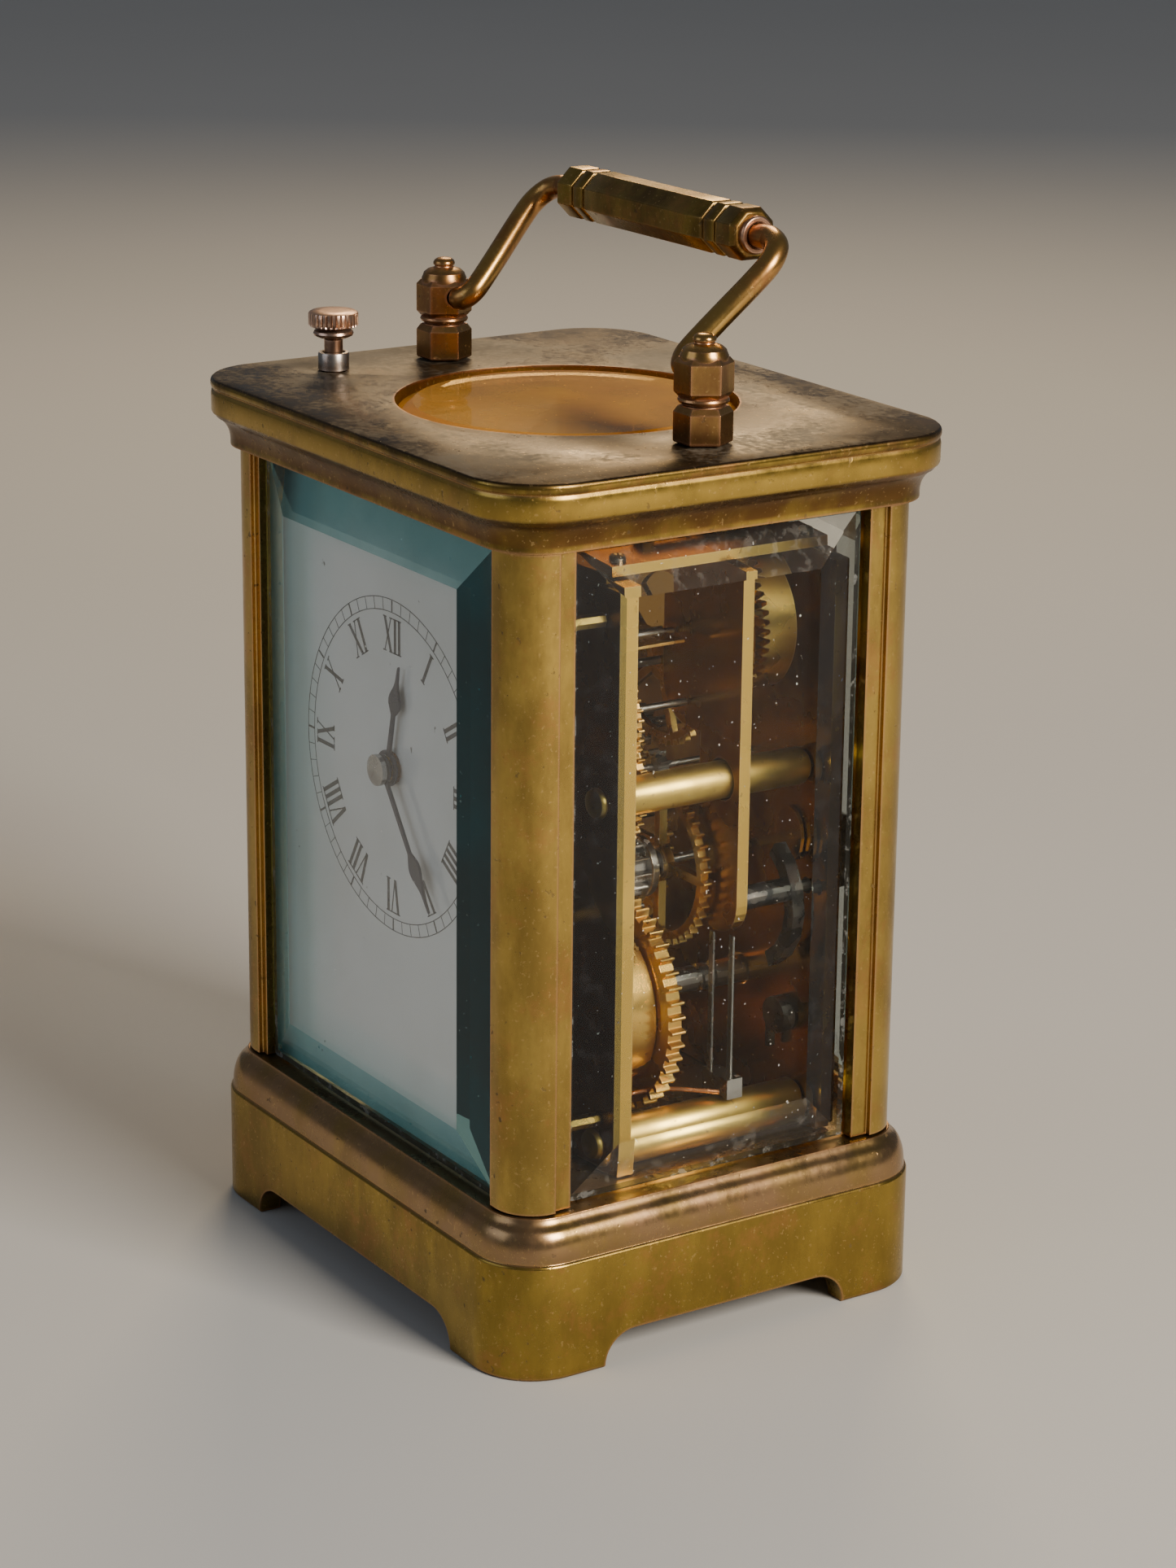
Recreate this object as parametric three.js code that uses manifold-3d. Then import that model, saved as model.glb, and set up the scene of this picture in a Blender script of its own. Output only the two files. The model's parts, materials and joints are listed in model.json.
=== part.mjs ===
// Brass carriage clock with bevelled glasses, folding handle, repeat button and rear door.
// Millimetres, +Z up, dial towards -Y, strike train on the +X side, origin under the middle of the base.
import * as THREE from "three";
import { mergeVertices } from "three/addons/utils/BufferGeometryUtils.js";
import Module from "manifold-3d";

const wasm = await Module();
wasm.setup();

// ---- driving dimensions ----
const BODY_W = 90;
const BODY_D = 72.6;
const BODY_R = 7;
const BASE_TOP = 25.6;
const PLINTH_TOP = 18.7;
const CORNICE_BOTTOM = 129;
const CASE_TOP = 140;
const GAP = 0.3;
const POST_BOTTOM = BASE_TOP + GAP;
const POST_TOP = CORNICE_BOTTOM - GAP;
const ARCH_HEIGHT = 5.5;
const PANE_THICK = 2;
const BEVEL = 8.6;
const DIAL_Z = 85;
const DIAL_Y = -30.4;
const HANDLE_X = 37.3;
const HANDLE_Z = 150.6;
const HANDLE_LEAN = Math.PI / 4;
const HANDLE_REACH = 24.4;
const WIRE_R = 1.85;
const GRIP_LENGTH = 52;
const BUTTON_X = -37.5;
const BUTTON_Y = -20.5;
const PLATE_HALF = 36;
const PLATE_BOTTOM = 26;
const PLATE_TOP = 119;
const FRONT_PLATE = [-13.3, -10.4];
const BACK_PLATE = [24.5, 27.2];
const BRIDGE = [8.8, 10.8];
const PILLAR_X = 31;
const PILLAR_Z = [29.4, 85];
const HOUR_ANGLE = (12 * Math.PI) / 180;
const DOOR_HINGE = [-34.3, 35.4];
const MINUTE_ANGLE = (144 * Math.PI) / 180;

// ---- finishes ----
const finish = (color, roughness, metalness) => ({ color, roughness, metalness });
const CASE_BRASS = finish(0x9a7b3c, 0.38, 1);
const GILT_BRASS = finish(0xb08d45, 0.32, 1);
const WHEEL_BRASS = finish(0xc09a4a, 0.3, 1);
const STEEL = finish(0x8d9096, 0.28, 1);
const BLUED = finish(0x1f2a44, 0.3, 0.9);
const GLASS = finish(0xbfd8d2, 0.05, 0);
const ENAMEL = finish(0xe9e9e4, 0.25, 0);

// ---- solids ----
const clock = new THREE.Group();

function solid(geometry) {
  const bare = new THREE.BufferGeometry().setAttribute("position", geometry.getAttribute("position"));
  if (geometry.index) bare.setIndex(geometry.index);
  const merged = mergeVertices(bare, 1e-4);
  const triVerts = new Uint32Array(merged.index.array);
  const vertProperties = new Float32Array(merged.attributes.position.array);
  const made = new wasm.Manifold(new wasm.Mesh({ numProp: 3, vertProperties, triVerts }));
  if (made.volume() > 0) return made;
  for (let i = 0; i < triVerts.length; i += 3) {
    [triVerts[i + 1], triVerts[i + 2]] = [triVerts[i + 2], triVerts[i + 1]];
  }
  return new wasm.Manifold(new wasm.Mesh({ numProp: 3, vertProperties, triVerts }));
}

function join(...pieces) {
  return pieces.reduce((whole, piece) => whole.add(piece));
}

function cut(body, ...tools) {
  return tools.reduce((whole, tool) => whole.subtract(tool), body);
}

function add(name, body, look) {
  const mesh = body.getMesh();
  const geometry = new THREE.BufferGeometry();
  geometry.setAttribute("position", new THREE.BufferAttribute(mesh.vertProperties, 3));
  geometry.setIndex(new THREE.BufferAttribute(mesh.triVerts, 1));
  const part = new THREE.Mesh(geometry, new THREE.MeshStandardMaterial(look));
  part.name = name;
  clock.add(part);
}

// Turns a drawing whose own plane is X, Y and whose depth is Z into the named plane.
const LIE = {
  z: new THREE.Matrix4(),
  y: new THREE.Matrix4().makeRotationX(Math.PI / 2),
  x: new THREE.Matrix4().makeBasis(
    new THREE.Vector3(0, 1, 0),
    new THREE.Vector3(0, 0, 1),
    new THREE.Vector3(1, 0, 0),
  ),
};

// A flat outline made into a plate between two heights along the named axis.
function plate(shape, axis, from, to) {
  const drawn = { depth: to - from, bevelEnabled: false, curveSegments: 6 };
  const geometry = new THREE.ExtrudeGeometry(shape, drawn);
  geometry.translate(0, 0, axis === "y" ? -to : from);
  return solid(geometry.applyMatrix4(LIE[axis]));
}

function outline(points) {
  return new THREE.Shape(points.map(([x, y]) => new THREE.Vector2(x, y)));
}

function block(x, y, z) {
  const box = new THREE.BoxGeometry(x[1] - x[0], y[1] - y[0], z[1] - z[0]);
  return solid(box.translate((x[0] + x[1]) / 2, (y[0] + y[1]) / 2, (z[0] + z[1]) / 2));
}

// A turned piece: [radius, height] points run up the axis, which passes through the point at.
function turned(profile, axis, at, sides = 16, turn = 0) {
  const geometry = new THREE.LatheGeometry(outlinePoints(profile), sides, turn);
  if (axis === "z") geometry.rotateX(Math.PI / 2);
  if (axis === "x") geometry.rotateZ(-Math.PI / 2);
  return solid(geometry.translate(...at));
}

function outlinePoints(profile) {
  return profile.map(([r, h]) => new THREE.Vector2(r, h));
}

function rod(radius, axis, at, from, to, sides = 10, turn = 0) {
  return turned([[0, from], [radius, from], [radius, to], [0, to]], axis, at, sides, turn);
}

function pipe(outer, inner, axis, at, from, to, sides = 16) {
  const wall = [[inner, from], [outer, from], [outer, to], [inner, to], [inner, from]];
  return turned(wall, axis, at, sides);
}

// A rounded rectangle as a ring of points, the same count for every size.
function ringPoints(w, d, r, perCorner) {
  const points = [];
  for (let corner = 0; corner < 4; corner++) {
    const cx = (w / 2 - r) * (corner === 0 || corner === 3 ? 1 : -1);
    const cy = (d / 2 - r) * (corner < 2 ? 1 : -1);
    for (let i = 0; i <= perCorner; i++) {
      const a = ((corner + i / perCorner) * Math.PI) / 2;
      points.push([cx + r * Math.cos(a), cy + r * Math.sin(a)]);
    }
  }
  return points;
}

// A moulded block: each [offset, height] level is the body outline grown by its offset.
function moulded(levels, w, d, r, perCorner = 5) {
  const rings = levels.map(([offset]) => ringPoints(w + 2 * offset, d + 2 * offset, r + offset, perCorner));
  const count = rings[0].length;
  const vertices = [];
  rings.forEach((ring, level) => ring.forEach(([x, y]) => vertices.push(x, y, levels[level][1])));
  vertices.push(0, 0, levels[0][1], 0, 0, levels.at(-1)[1]);
  const low = count * levels.length;
  const faces = [];
  for (let i = 0; i < count; i++) {
    const next = (i + 1) % count;
    for (let level = 0; level < levels.length - 1; level++) {
      const a = level * count + i;
      const b = level * count + next;
      faces.push(a, b, b + count, a, b + count, a + count);
    }
    faces.push(low, next, i);
    faces.push(low + 1, low - count + i, low - count + next);
  }
  const geometry = new THREE.BufferGeometry();
  geometry.setAttribute("position", new THREE.Float32BufferAttribute(vertices, 3));
  geometry.setIndex(faces);
  return solid(geometry);
}

// ---- toothed wheels ----
// A tooth is a pointed ogive drawn with straight flanks, slimmer than half the pitch for running play.
function toothRing(teeth, module, tip, foot, phase, pinion) {
  const r = (teeth * module) / 2;
  const pitch = (2 * Math.PI) / teeth;
  const footHalf = pinion ? 0.2 : 0.29;
  const points = [];
  for (let i = 0; i < teeth; i++) {
    const middle = phase + i * pitch;
    const spots = [[-footHalf, -foot], [0, tip], [footHalf, -foot]];
    spots.forEach(([part, rise]) => {
      const a = middle + part * pitch;
      points.push([(r + rise * module) * Math.cos(a), (r + rise * module) * Math.sin(a)]);
    });
  }
  return points;
}

function moved(points, [x, z]) {
  return outline(points.map(([a, b]) => [a + x, b + z]));
}

// Crossings: windows that leave a number of spokes between the rim and the hub.
function crossings(spokes, hub, rim, [x, z], width) {
  const windows = [];
  for (let i = 0; i < spokes; i++) {
    const a = (2 * Math.PI * i) / spokes;
    const b = a + (2 * Math.PI) / spokes;
    const hubSlip = width / hub / 2;
    const rimSlip = width / rim / 2;
    const path = [];
    const steps = 5;
    for (let k = 0; k <= steps; k++) {
      const t = a + rimSlip + ((b - a - 2 * rimSlip) * k) / steps;
      path.push(new THREE.Vector2(x + rim * Math.cos(t), z + rim * Math.sin(t)));
    }
    for (let k = 0; k <= 1; k++) {
      const t = b - hubSlip - (b - a - 2 * hubSlip) * k;
      path.push(new THREE.Vector2(x + hub * Math.cos(t), z + hub * Math.sin(t)));
    }
    windows.push(new THREE.Path(path));
  }
  return windows;
}

function wheel(teeth, module, at, y, phase, spokes = 4) {
  const shape = moved(toothRing(teeth, module, 0.7, 0.95, phase, false), at);
  const r = (teeth * module) / 2;
  if (spokes) shape.holes = crossings(spokes, r * 0.24, r - 2.1 * module - 0.5, at, 1.5);
  return plate(shape, "y", y[0], y[1]);
}

function pinion(teeth, module, at, y, phase) {
  return plate(moved(toothRing(teeth, module, 0.6, 1.05, phase, true), at), "y", y[0], y[1]);
}

function arbor(radius, at, from, to, sides = 8) {
  return rod(radius, "y", [at[0], 0, at[1]], from, to, sides);
}

// Phase of a follower so that one of its gaps faces a tooth of the driver on the line of centres.
function meshPhase(driverPhase, driverTeeth, followerTeeth, from, to) {
  const line = Math.atan2(to[1] - from[1], to[0] - from[0]);
  const driverPitch = (2 * Math.PI) / driverTeeth;
  const offset = (line - driverPhase) / driverPitch;
  const slip = offset - Math.round(offset);
  const followerPitch = (2 * Math.PI) / followerTeeth;
  return line + Math.PI + slip * followerPitch + followerPitch / 2;
}

function polar([x, z], distance, degrees) {
  const a = (degrees * Math.PI) / 180;
  return [x + distance * Math.cos(a), z + distance * Math.sin(a)];
}

// The point at given distances from two centres, on the left of the line from the first to the second.
function meet([x1, z1], r1, [x2, z2], r2) {
  const dx = x2 - x1;
  const dz = z2 - z1;
  const d = Math.hypot(dx, dz);
  const along = (r1 * r1 - r2 * r2 + d * d) / (2 * d);
  const aside = Math.sqrt(r1 * r1 - along * along);
  return [x1 + (dx * along - dz * aside) / d, z1 + (dz * along + dx * aside) / d];
}

// ---- base: moulded plinth, hollow below, with bracket feet at the corners ----
{
  const profile = [
    [3.55, 0],
    [3.55, PLINTH_TOP],
    [3.3, PLINTH_TOP + 0.5],
    [2.95, PLINTH_TOP + 1.9],
    [2.2, PLINTH_TOP + 3.4],
    [1.3, PLINTH_TOP + 4.6],
    [0.7, PLINTH_TOP + 5.6],
    [0.5, BASE_TOP],
  ];
  const wall = 4;
  const inside = moulded([[3.55 - wall, -1], [3.55 - wall, 16]], BODY_W, BODY_D, BODY_R, 3);
  const arch = (half) => {
    const shape = new THREE.Shape();
    shape.moveTo(-half, -1);
    shape.lineTo(half, -1);
    shape.lineTo(half, 0.4);
    shape.quadraticCurveTo(half - 0.6, ARCH_HEIGHT, half - 5.2, ARCH_HEIGHT);
    shape.lineTo(-half + 5.2, ARCH_HEIGHT);
    shape.quadraticCurveTo(-half + 0.6, ARCH_HEIGHT, -half, 0.4);
    shape.closePath();
    return shape;
  };
  const pinHole = rod(0.9, "z", [...DOOR_HINGE, 0], BASE_TOP - 1.8, BASE_TOP + 1, 6);
  add(
    "base_plinth",
    cut(
      moulded(profile, BODY_W, BODY_D, BODY_R),
      inside,
      plate(arch(31), "y", -60, 60),
      plate(arch(22.5), "x", -60, 60),
      pinHole,
    ),
    CASE_BRASS,
  );
}

// ---- corner posts: rounded pillars with a stepped strip on each glass side ----
{
  const arc = 6;
  const quarter = [];
  for (let i = 0; i <= arc; i++) {
    const a = -Math.PI / 2 + (i / arc) * (Math.PI / 2);
    quarter.push([38.4 + 6.6 * Math.cos(a), -29.7 + 6.6 * Math.sin(a)]);
  }
  const section = [
    [35.5, -35.5],
    [36.9, -35.5],
    [36.9, -36.3],
    ...quarter,
    [45, -29.5],
    [44.2, -29.5],
    [44.2, -26.4],
    [41.4, -26.4],
    [41.4, -30.4],
    [38.6, -32.9],
    [35.5, -32.9],
  ];
  const places = { front_right: [1, 1], front_left: [-1, 1], back_right: [1, -1], back_left: [-1, -1] };
  for (const [place, [sx, sy]] of Object.entries(places)) {
    const corner = outline(section.map(([x, y]) => [x * sx, y * sy]));
    add("corner_post_" + place, plate(corner, "z", POST_BOTTOM, POST_TOP), CASE_BRASS);
  }
}

// ---- bevelled glasses ----
// Drawn lying flat, back face at 0 and front face up, then turned to its wall.
function squarePane(w, h, bevel) {
  const [x, y] = [w / 2, h / 2];
  const signs = [[1, 1], [-1, 1], [-1, -1], [1, -1]];
  const corners = (inset, z) => signs.map(([sx, sy]) => [sx * (x - inset), sy * (y - inset), z]);
  const rings = [...corners(0, 0), ...corners(0, 0.9), ...corners(bevel, PANE_THICK)];
  const faces = [0, 2, 1, 0, 3, 2, 8, 9, 10, 8, 10, 11];
  for (let level = 0; level < 2; level++) {
    for (let i = 0; i < 4; i++) {
      const a = level * 4 + i;
      const b = level * 4 + ((i + 1) % 4);
      faces.push(a, b, b + 4, a, b + 4, a + 4);
    }
  }
  const geometry = new THREE.BufferGeometry();
  geometry.setAttribute("position", new THREE.Float32BufferAttribute(rings.flat(), 3));
  geometry.setIndex(faces);
  return geometry;
}

{
  const height = POST_TOP - POST_BOTTOM;
  const middle = (POST_TOP + POST_BOTTOM) / 2;
  const front = squarePane(70.4, height, BEVEL).rotateX(Math.PI / 2).translate(0, -34, middle);
  add("front_glass", solid(front), GLASS);
  const side = () => squarePane(52.2, height, BEVEL).rotateX(Math.PI / 2).rotateZ(Math.PI / 2);
  add("right_glass", solid(side().translate(42, 0, middle)), GLASS);
  add("left_glass", solid(side().rotateZ(Math.PI).translate(-42, 0, middle)), GLASS);
}

// ---- rear door: framed glass on two pivot pins, with a small knob ----
{
  const [hx, hy] = DOOR_HINGE;
  const [x0, x1] = [-34.9, 34.9];
  const [z0, z1] = [POST_BOTTOM + 0.3, POST_TOP - 0.3];
  const [y0, y1] = [33.4, 36];
  const rail = 4.2;
  const frame = cut(
    block([x0, x1], [y0, y1], [z0, z1]),
    block([x0 + rail, x1 - rail], [y0 - 1, y1 + 1], [z0 + rail, z1 - rail]),
    block([x0 + rail - 1, x1 - rail + 1], [y0 - 1, y0 + 1.4], [z0 + rail - 1, z1 - rail + 1]),
  );
  const pin = (from, to) => rod(0.6, "z", [hx, hy, 0], from, to, 6);
  add("back_door_frame", join(frame, pin(z0 - 1.5, z0 + 1), pin(z1 - 1, z1 + 1.5)), CASE_BRASS);
  const w = x1 - x0 - 2 * rail + 1.2;
  const h = z1 - z0 - 2 * rail + 1.2;
  const glass = squarePane(w, h, 6).scale(1, 1, 0.5).rotateX(Math.PI / 2).rotateZ(Math.PI);
  add("back_door_glass", solid(glass.translate(0, y0 + 0.05, (z0 + z1) / 2)), GLASS);
  const knob = [[0, 0.3], [1.1, 0.3], [1.1, 1.6], [2.1, 2.2], [2.5, 3.2], [1.9, 4.2], [0, 4.5]];
  add("back_door_knob", turned(knob, "y", [x1 - 2.1, y1, 77], 12), CASE_BRASS);
}

// ---- top frame: cornice moulding and top plate in one, with a round opening ----
const WINDOW_R = 26.8;
{
  const profile = [
    [1.7, CORNICE_BOTTOM],
    [1.7, CORNICE_BOTTOM + 0.9],
    [1.95, CORNICE_BOTTOM + 1.9],
    [2.6, CORNICE_BOTTOM + 3.4],
    [3.8, 134],
    [4.55, 134.4],
    [4.7, 137.8],
    [4.45, 138.5],
    [4.74, 138.9],
    [4.74, 139.5],
    [4.3, CASE_TOP],
  ];
  const [hx, hy] = DOOR_HINGE;
  add(
    "top_frame",
    cut(
      moulded(profile, BODY_W, BODY_D, BODY_R, 4),
      block([-40.5, 40.5], [-31.8, 31.8], [CORNICE_BOTTOM - 1, 135.6]),
      rod(WINDOW_R, "z", [0, 0, 0], 137, CASE_TOP + 1, 40),
      rod(WINDOW_R - 1.8, "z", [0, 0, 0], 130, CASE_TOP + 1, 40),
      rod(2.1, "z", [BUTTON_X, BUTTON_Y, 0], 130, CASE_TOP + 1, 12),
      rod(0.9, "z", [hx, hy, 0], CORNICE_BOTTOM - 1, CORNICE_BOTTOM + 1.8, 6),
    ),
    CASE_BRASS,
  );
  const discR = WINDOW_R - 0.4;
  const disc = [[0, 137.3], [discR, 137.3], [discR, 138.4], [discR - 2, 139.7], [0, 139.7]];
  add("top_glass", turned(disc, "z", [0, 0, 0], 40), GLASS);
}

// ---- handle posts: hexagonal nut, turned neck, hexagonal head with the pivot hole, stepped finial ----
const HEX_R = 7.8 / Math.sqrt(3);
for (const [name, side] of [["handle_post_left", -1], ["handle_post_right", 1]]) {
  const at = [side * HANDLE_X, 0, 0];
  const base = CASE_TOP + GAP;
  const hex = (profile) => turned(profile, "z", at, 6, 0);
  const nut = hex([[0, base], [HEX_R, base], [HEX_R, 145], [HEX_R - 0.8, 145.8], [0, 145.8]]);
  const head = hex([
    [0, 147.2],
    [HEX_R - 0.7, 147.2],
    [HEX_R, 147.9],
    [HEX_R, 152.4],
    [HEX_R - 0.6, 153.1],
    [0, 153.1],
  ]);
  const round = turned(
    [
      [0, 144],
      [3.1, 144],
      [3.1, 146],
      [3.85, 146.4],
      [3.85, 147.1],
      [3.3, 147.5],
      [3.5, 153.3],
      [3.2, 154.3],
      [2.2, 154.9],
      [1.5, 155.1],
      [1.7, 155.8],
      [1.2, 156.5],
      [0, 156.6],
    ],
    "z",
    at,
    12,
  );
  const hole = rod(1.6, "x", [0, 0, HANDLE_Z], side > 0 ? 30 : -36.9, side > 0 ? 36.9 : -30, 10);
  add(name, cut(join(nut, head, round), hole), CASE_BRASS);
}

// ---- handle: bent wire with pivot ends and an octagonal grip, at rest leaning back ----
{
  const half = [
    [32.9, 0],
    [31.6, 0.25],
    [30.6, 1.6],
    [30.5, 3.6],
    [31.4, 9],
    [32.9, 16.6],
    [33.2, 20.4],
    [31.9, 23.2],
    [29.3, HANDLE_REACH],
    [26.4, HANDLE_REACH],
    [10, HANDLE_REACH],
  ];
  const lean = ([u, v]) => new THREE.Vector3(
    u,
    v * Math.sin(HANDLE_LEAN),
    HANDLE_Z + v * Math.cos(HANDLE_LEAN),
  );
  const path = [...half.map(([u, v]) => [-u, v]), ...half.slice().reverse()].map(lean);
  const curve = new THREE.CatmullRomCurve3(path, false, "catmullrom", 0.5);
  const sides = 8;
  const ring = new THREE.Shape(
    Array.from({ length: sides }, (_, i) => {
      const a = ((i + 0.5) * 2 * Math.PI) / sides;
      return new THREE.Vector2(WIRE_R * Math.cos(a), WIRE_R * Math.sin(a));
    }),
  );
  const drawn = { steps: 42, extrudePath: curve, bevelEnabled: false };
  const wire = solid(new THREE.ExtrudeGeometry(ring, drawn));
  const pivot = (from, to) => rod(1.2, "x", [0, 0, HANDLE_Z], from, to, 10);
  add("handle_bail", join(wire, pivot(-36.2, -32.2), pivot(32.2, 36.2)), CASE_BRASS);

  const end = GRIP_LENGTH / 2;
  const across = 8 / 2 / Math.cos(Math.PI / 8);
  const bore = 2.35;
  const halfProfile = [
    [bore, end],
    [2.9, end],
    [2.9, end - 0.9],
    [across - 0.6, end - 1],
    [across, end - 1.8],
    [across, end - 5.2],
    [across - 0.6, end - 5.6],
    [across - 0.6, end - 6.4],
    [across, end - 6.8],
    [across, end - 8.4],
    [across - 0.6, end - 8.8],
    [across - 0.6, end - 9.6],
    [across, end - 10],
  ];
  const mirror = halfProfile.map(([r, h]) => [r, -h]);
  const profile = [...mirror, ...halfProfile.reverse(), mirror[0]];
  const body = new THREE.LatheGeometry(outlinePoints(profile), 8, Math.PI / 8);
  body.rotateZ(-Math.PI / 2);
  body.rotateX(-HANDLE_LEAN);
  body.translate(0, HANDLE_REACH * Math.sin(HANDLE_LEAN), HANDLE_Z + HANDLE_REACH * Math.cos(HANDLE_LEAN));
  add("handle_grip", solid(body), CASE_BRASS);
}

// ---- repeat button: knurled head on a stem that slides in a short fixed tube ----
{
  const at = [BUTTON_X, BUTTON_Y, 0];
  const button = [
    [0, 133.2],
    [1.5, 133.2],
    [1.5, 145.2],
    [2.3, 145.4],
    [3.2, 145.9],
    [3.2, 146.5],
    [2.2, 146.9],
    [3.7, 147.2],
    [4, 147.6],
    [4, 149.3],
    [3.6, 149.7],
    [0, 149.8],
  ];
  add("repeat_button", turned(button, "z", at, 20), CASE_BRASS);
  add("button_tube", pipe(2.5, 1.8, "z", at, CASE_TOP + GAP, 143.1, 16), CASE_BRASS);
}

// ---- dial, its brass back plate on four feet, and the hands ----
const FACE = [0, 0, DIAL_Z];
{
  const enamel = block([-38, 38], [DIAL_Y, DIAL_Y + 1], [26.4, 128.4]);
  add("dial", cut(enamel, rod(2.6, "y", FACE, -40, 0, 16)), ENAMEL);
  const foot = (x, z) => rod(1.2, "y", [x, 0, z], DIAL_Y + 2, FRONT_PLATE[0] - GAP, 8);
  const sheet = block([-36, 36], [DIAL_Y + 1.3, DIAL_Y + 2.3], [28, 127]);
  const backing = cut(sheet, rod(3, "y", FACE, -40, 0, 16));
  const feet = [foot(-32, 34), foot(32, 34), foot(-32, 114), foot(32, 114)];
  add("dial_back_plate", join(backing, ...feet), GILT_BRASS);

  const hand = (points, hub, bore, angle, y) => {
    const mirrored = points.slice().reverse().filter(([x]) => x > 0).map(([x, z]) => [-x, z]);
    const blade = plate(outline([...points, ...mirrored]), "y", y, y + 0.5);
    const whole = join(blade, rod(hub, "y", [0, 0, 0], y, y + 0.5, 20));
    const open = whole.subtract(rod(bore, "y", [0, 0, 0], y - 1, y + 2, 16));
    return open.rotate([0, (angle * 180) / Math.PI, 0]).translate([0, 0, DIAL_Z]);
  };
  const hourBlade = [
    [0.45, 1],
    [0.45, 9.2],
    [1.5, 10.6],
    [1.75, 11.8],
    [1.2, 13.4],
    [0.5, 15.4],
    [0, 17.6],
  ];
  const minuteBlade = [
    [0.4, 1],
    [0.4, 14.4],
    [1.2, 15.8],
    [1.35, 17],
    [0.9, 19],
    [0.4, 21.4],
    [0, 24.2],
  ];
  add("hour_hand", hand(hourBlade, 2.9, 2.15, HOUR_ANGLE, -31.6), BLUED);
  add("minute_hand", hand(minuteBlade, 2.4, 1.15, MINUTE_ANGLE, -32.5), BLUED);
}

// ---- motion work behind the dial ----
const MOTION_MODULE = 0.5;
const CANNON_TEETH = 10;
const MINUTE_WHEEL_TEETH = 30;
const MINUTE_PINION_TEETH = 8;
const HOUR_WHEEL_TEETH = 32;
{
  const centre = [0, DIAL_Z];
  const stud = polar(centre, ((CANNON_TEETH + MINUTE_WHEEL_TEETH) * MOTION_MODULE) / 2, 135);
  const cannonBack = FRONT_PLATE[0] - GAP;
  add(
    "cannon_pinion",
    join(
      arbor(0.85, centre, -33.4, cannonBack, 10),
      arbor(2.5, centre, -33.6, -32.8, 16),
      pinion(CANNON_TEETH, MOTION_MODULE, centre, [-17.2, -14.8], 0),
    ),
    STEEL,
  );
  const wheelPhase = meshPhase(0, CANNON_TEETH, MINUTE_WHEEL_TEETH, centre, stud);
  add(
    "minute_wheel",
    join(
      wheel(MINUTE_WHEEL_TEETH, MOTION_MODULE, stud, [-16.6, -15.6], wheelPhase, 0),
      pinion(MINUTE_PINION_TEETH, MOTION_MODULE, stud, [-20.8, -16.5], 0),
      arbor(0.7, stud, -22, cannonBack),
    ),
    WHEEL_BRASS,
  );
  const hourPhase = meshPhase(0, MINUTE_PINION_TEETH, HOUR_WHEEL_TEETH, stud, centre);
  const steps = [];
  const hours = 12;
  for (let hour = 0; hour < hours; hour++) {
    const radius = 4 + (5 * hour) / (hours - 1);
    for (const part of [0.04, 0.5, 0.96]) {
      const a = Math.PI / 2 - ((hour + part) * 2 * Math.PI) / hours;
      steps.push([radius * Math.cos(a), radius * Math.sin(a) + DIAL_Z]);
    }
  }
  const bore = rod(1.2, "y", FACE, -40, 0, 12);
  add(
    "hour_wheel_and_snail",
    cut(
      join(
        arbor(1.85, centre, -31.9, -18.6, 12),
        wheel(HOUR_WHEEL_TEETH, MOTION_MODULE, centre, [-20.2, -19.2], hourPhase, 0),
        plate(outline(steps), "y", -22.6, -21.6),
      ),
      bore,
    ),
    WHEEL_BRASS,
  );
}

// ---- repeating work: rack that falls on the snail, and the lever under the button ----
const RACK_PIVOT = [19, 63];
const RACK_R = 22.6;
const LEVER_PIVOT = [-19, 122];
{
  const teeth = [];
  for (let i = 0; i <= 13; i++) {
    const inner = polar(RACK_PIVOT, RACK_R - 1.2, 62 - 2.6 * i);
    const outer = polar(RACK_PIVOT, RACK_R, 62 - 2.6 * (i + 0.2));
    teeth.push(outer, inner);
  }
  const sectorFoot = RACK_R - 3.1;
  const sector = [polar(RACK_PIVOT, sectorFoot, 63), ...teeth, polar(RACK_PIVOT, sectorFoot, 27)];
  const armEnds = [[2.6, 0], [2.6, 90], [RACK_R - 2.6, 52], [RACK_R - 2.6, 40]];
  const arm = armEnds.map(([distance, degrees]) => polar(RACK_PIVOT, distance, degrees));
  const tail = [polar(RACK_PIVOT, 2.4, 60), polar(RACK_PIVOT, 2.4, -120), [8.2, 72.6], [9.6, 74.8]];
  const body = [
    plate(outline(sector), "y", -22.6, -21.6),
    plate(outline(arm), "y", -22.6, -21.6),
    plate(outline(tail.reverse()), "y", -22.6, -21.6),
    arbor(2.8, RACK_PIVOT, -22.6, -21.6, 16),
    arbor(1.1, RACK_PIVOT, -22.6, FRONT_PLATE[0] - GAP),
  ];
  add("strike_rack", join(...body), STEEL);

  const lever = [
    [BUTTON_X - 1.6, 132.9],
    [BUTTON_X - 1.6, 131.2],
    [BUTTON_X + 2.5, 129.6],
    [-22, 119.6],
    [-18.6, 90],
    [-16.4, 90],
    [-15.8, 121],
    [-18, 125],
    [BUTTON_X + 3.4, 132],
    [BUTTON_X + 1.8, 132.9],
  ];
  const pivot = arbor(1.1, LEVER_PIVOT, -21.4, FRONT_PLATE[0] - GAP);
  add("repeat_lever", join(plate(outline(lever), "y", -21.4, -20.2), pivot), STEEL);
}

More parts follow.
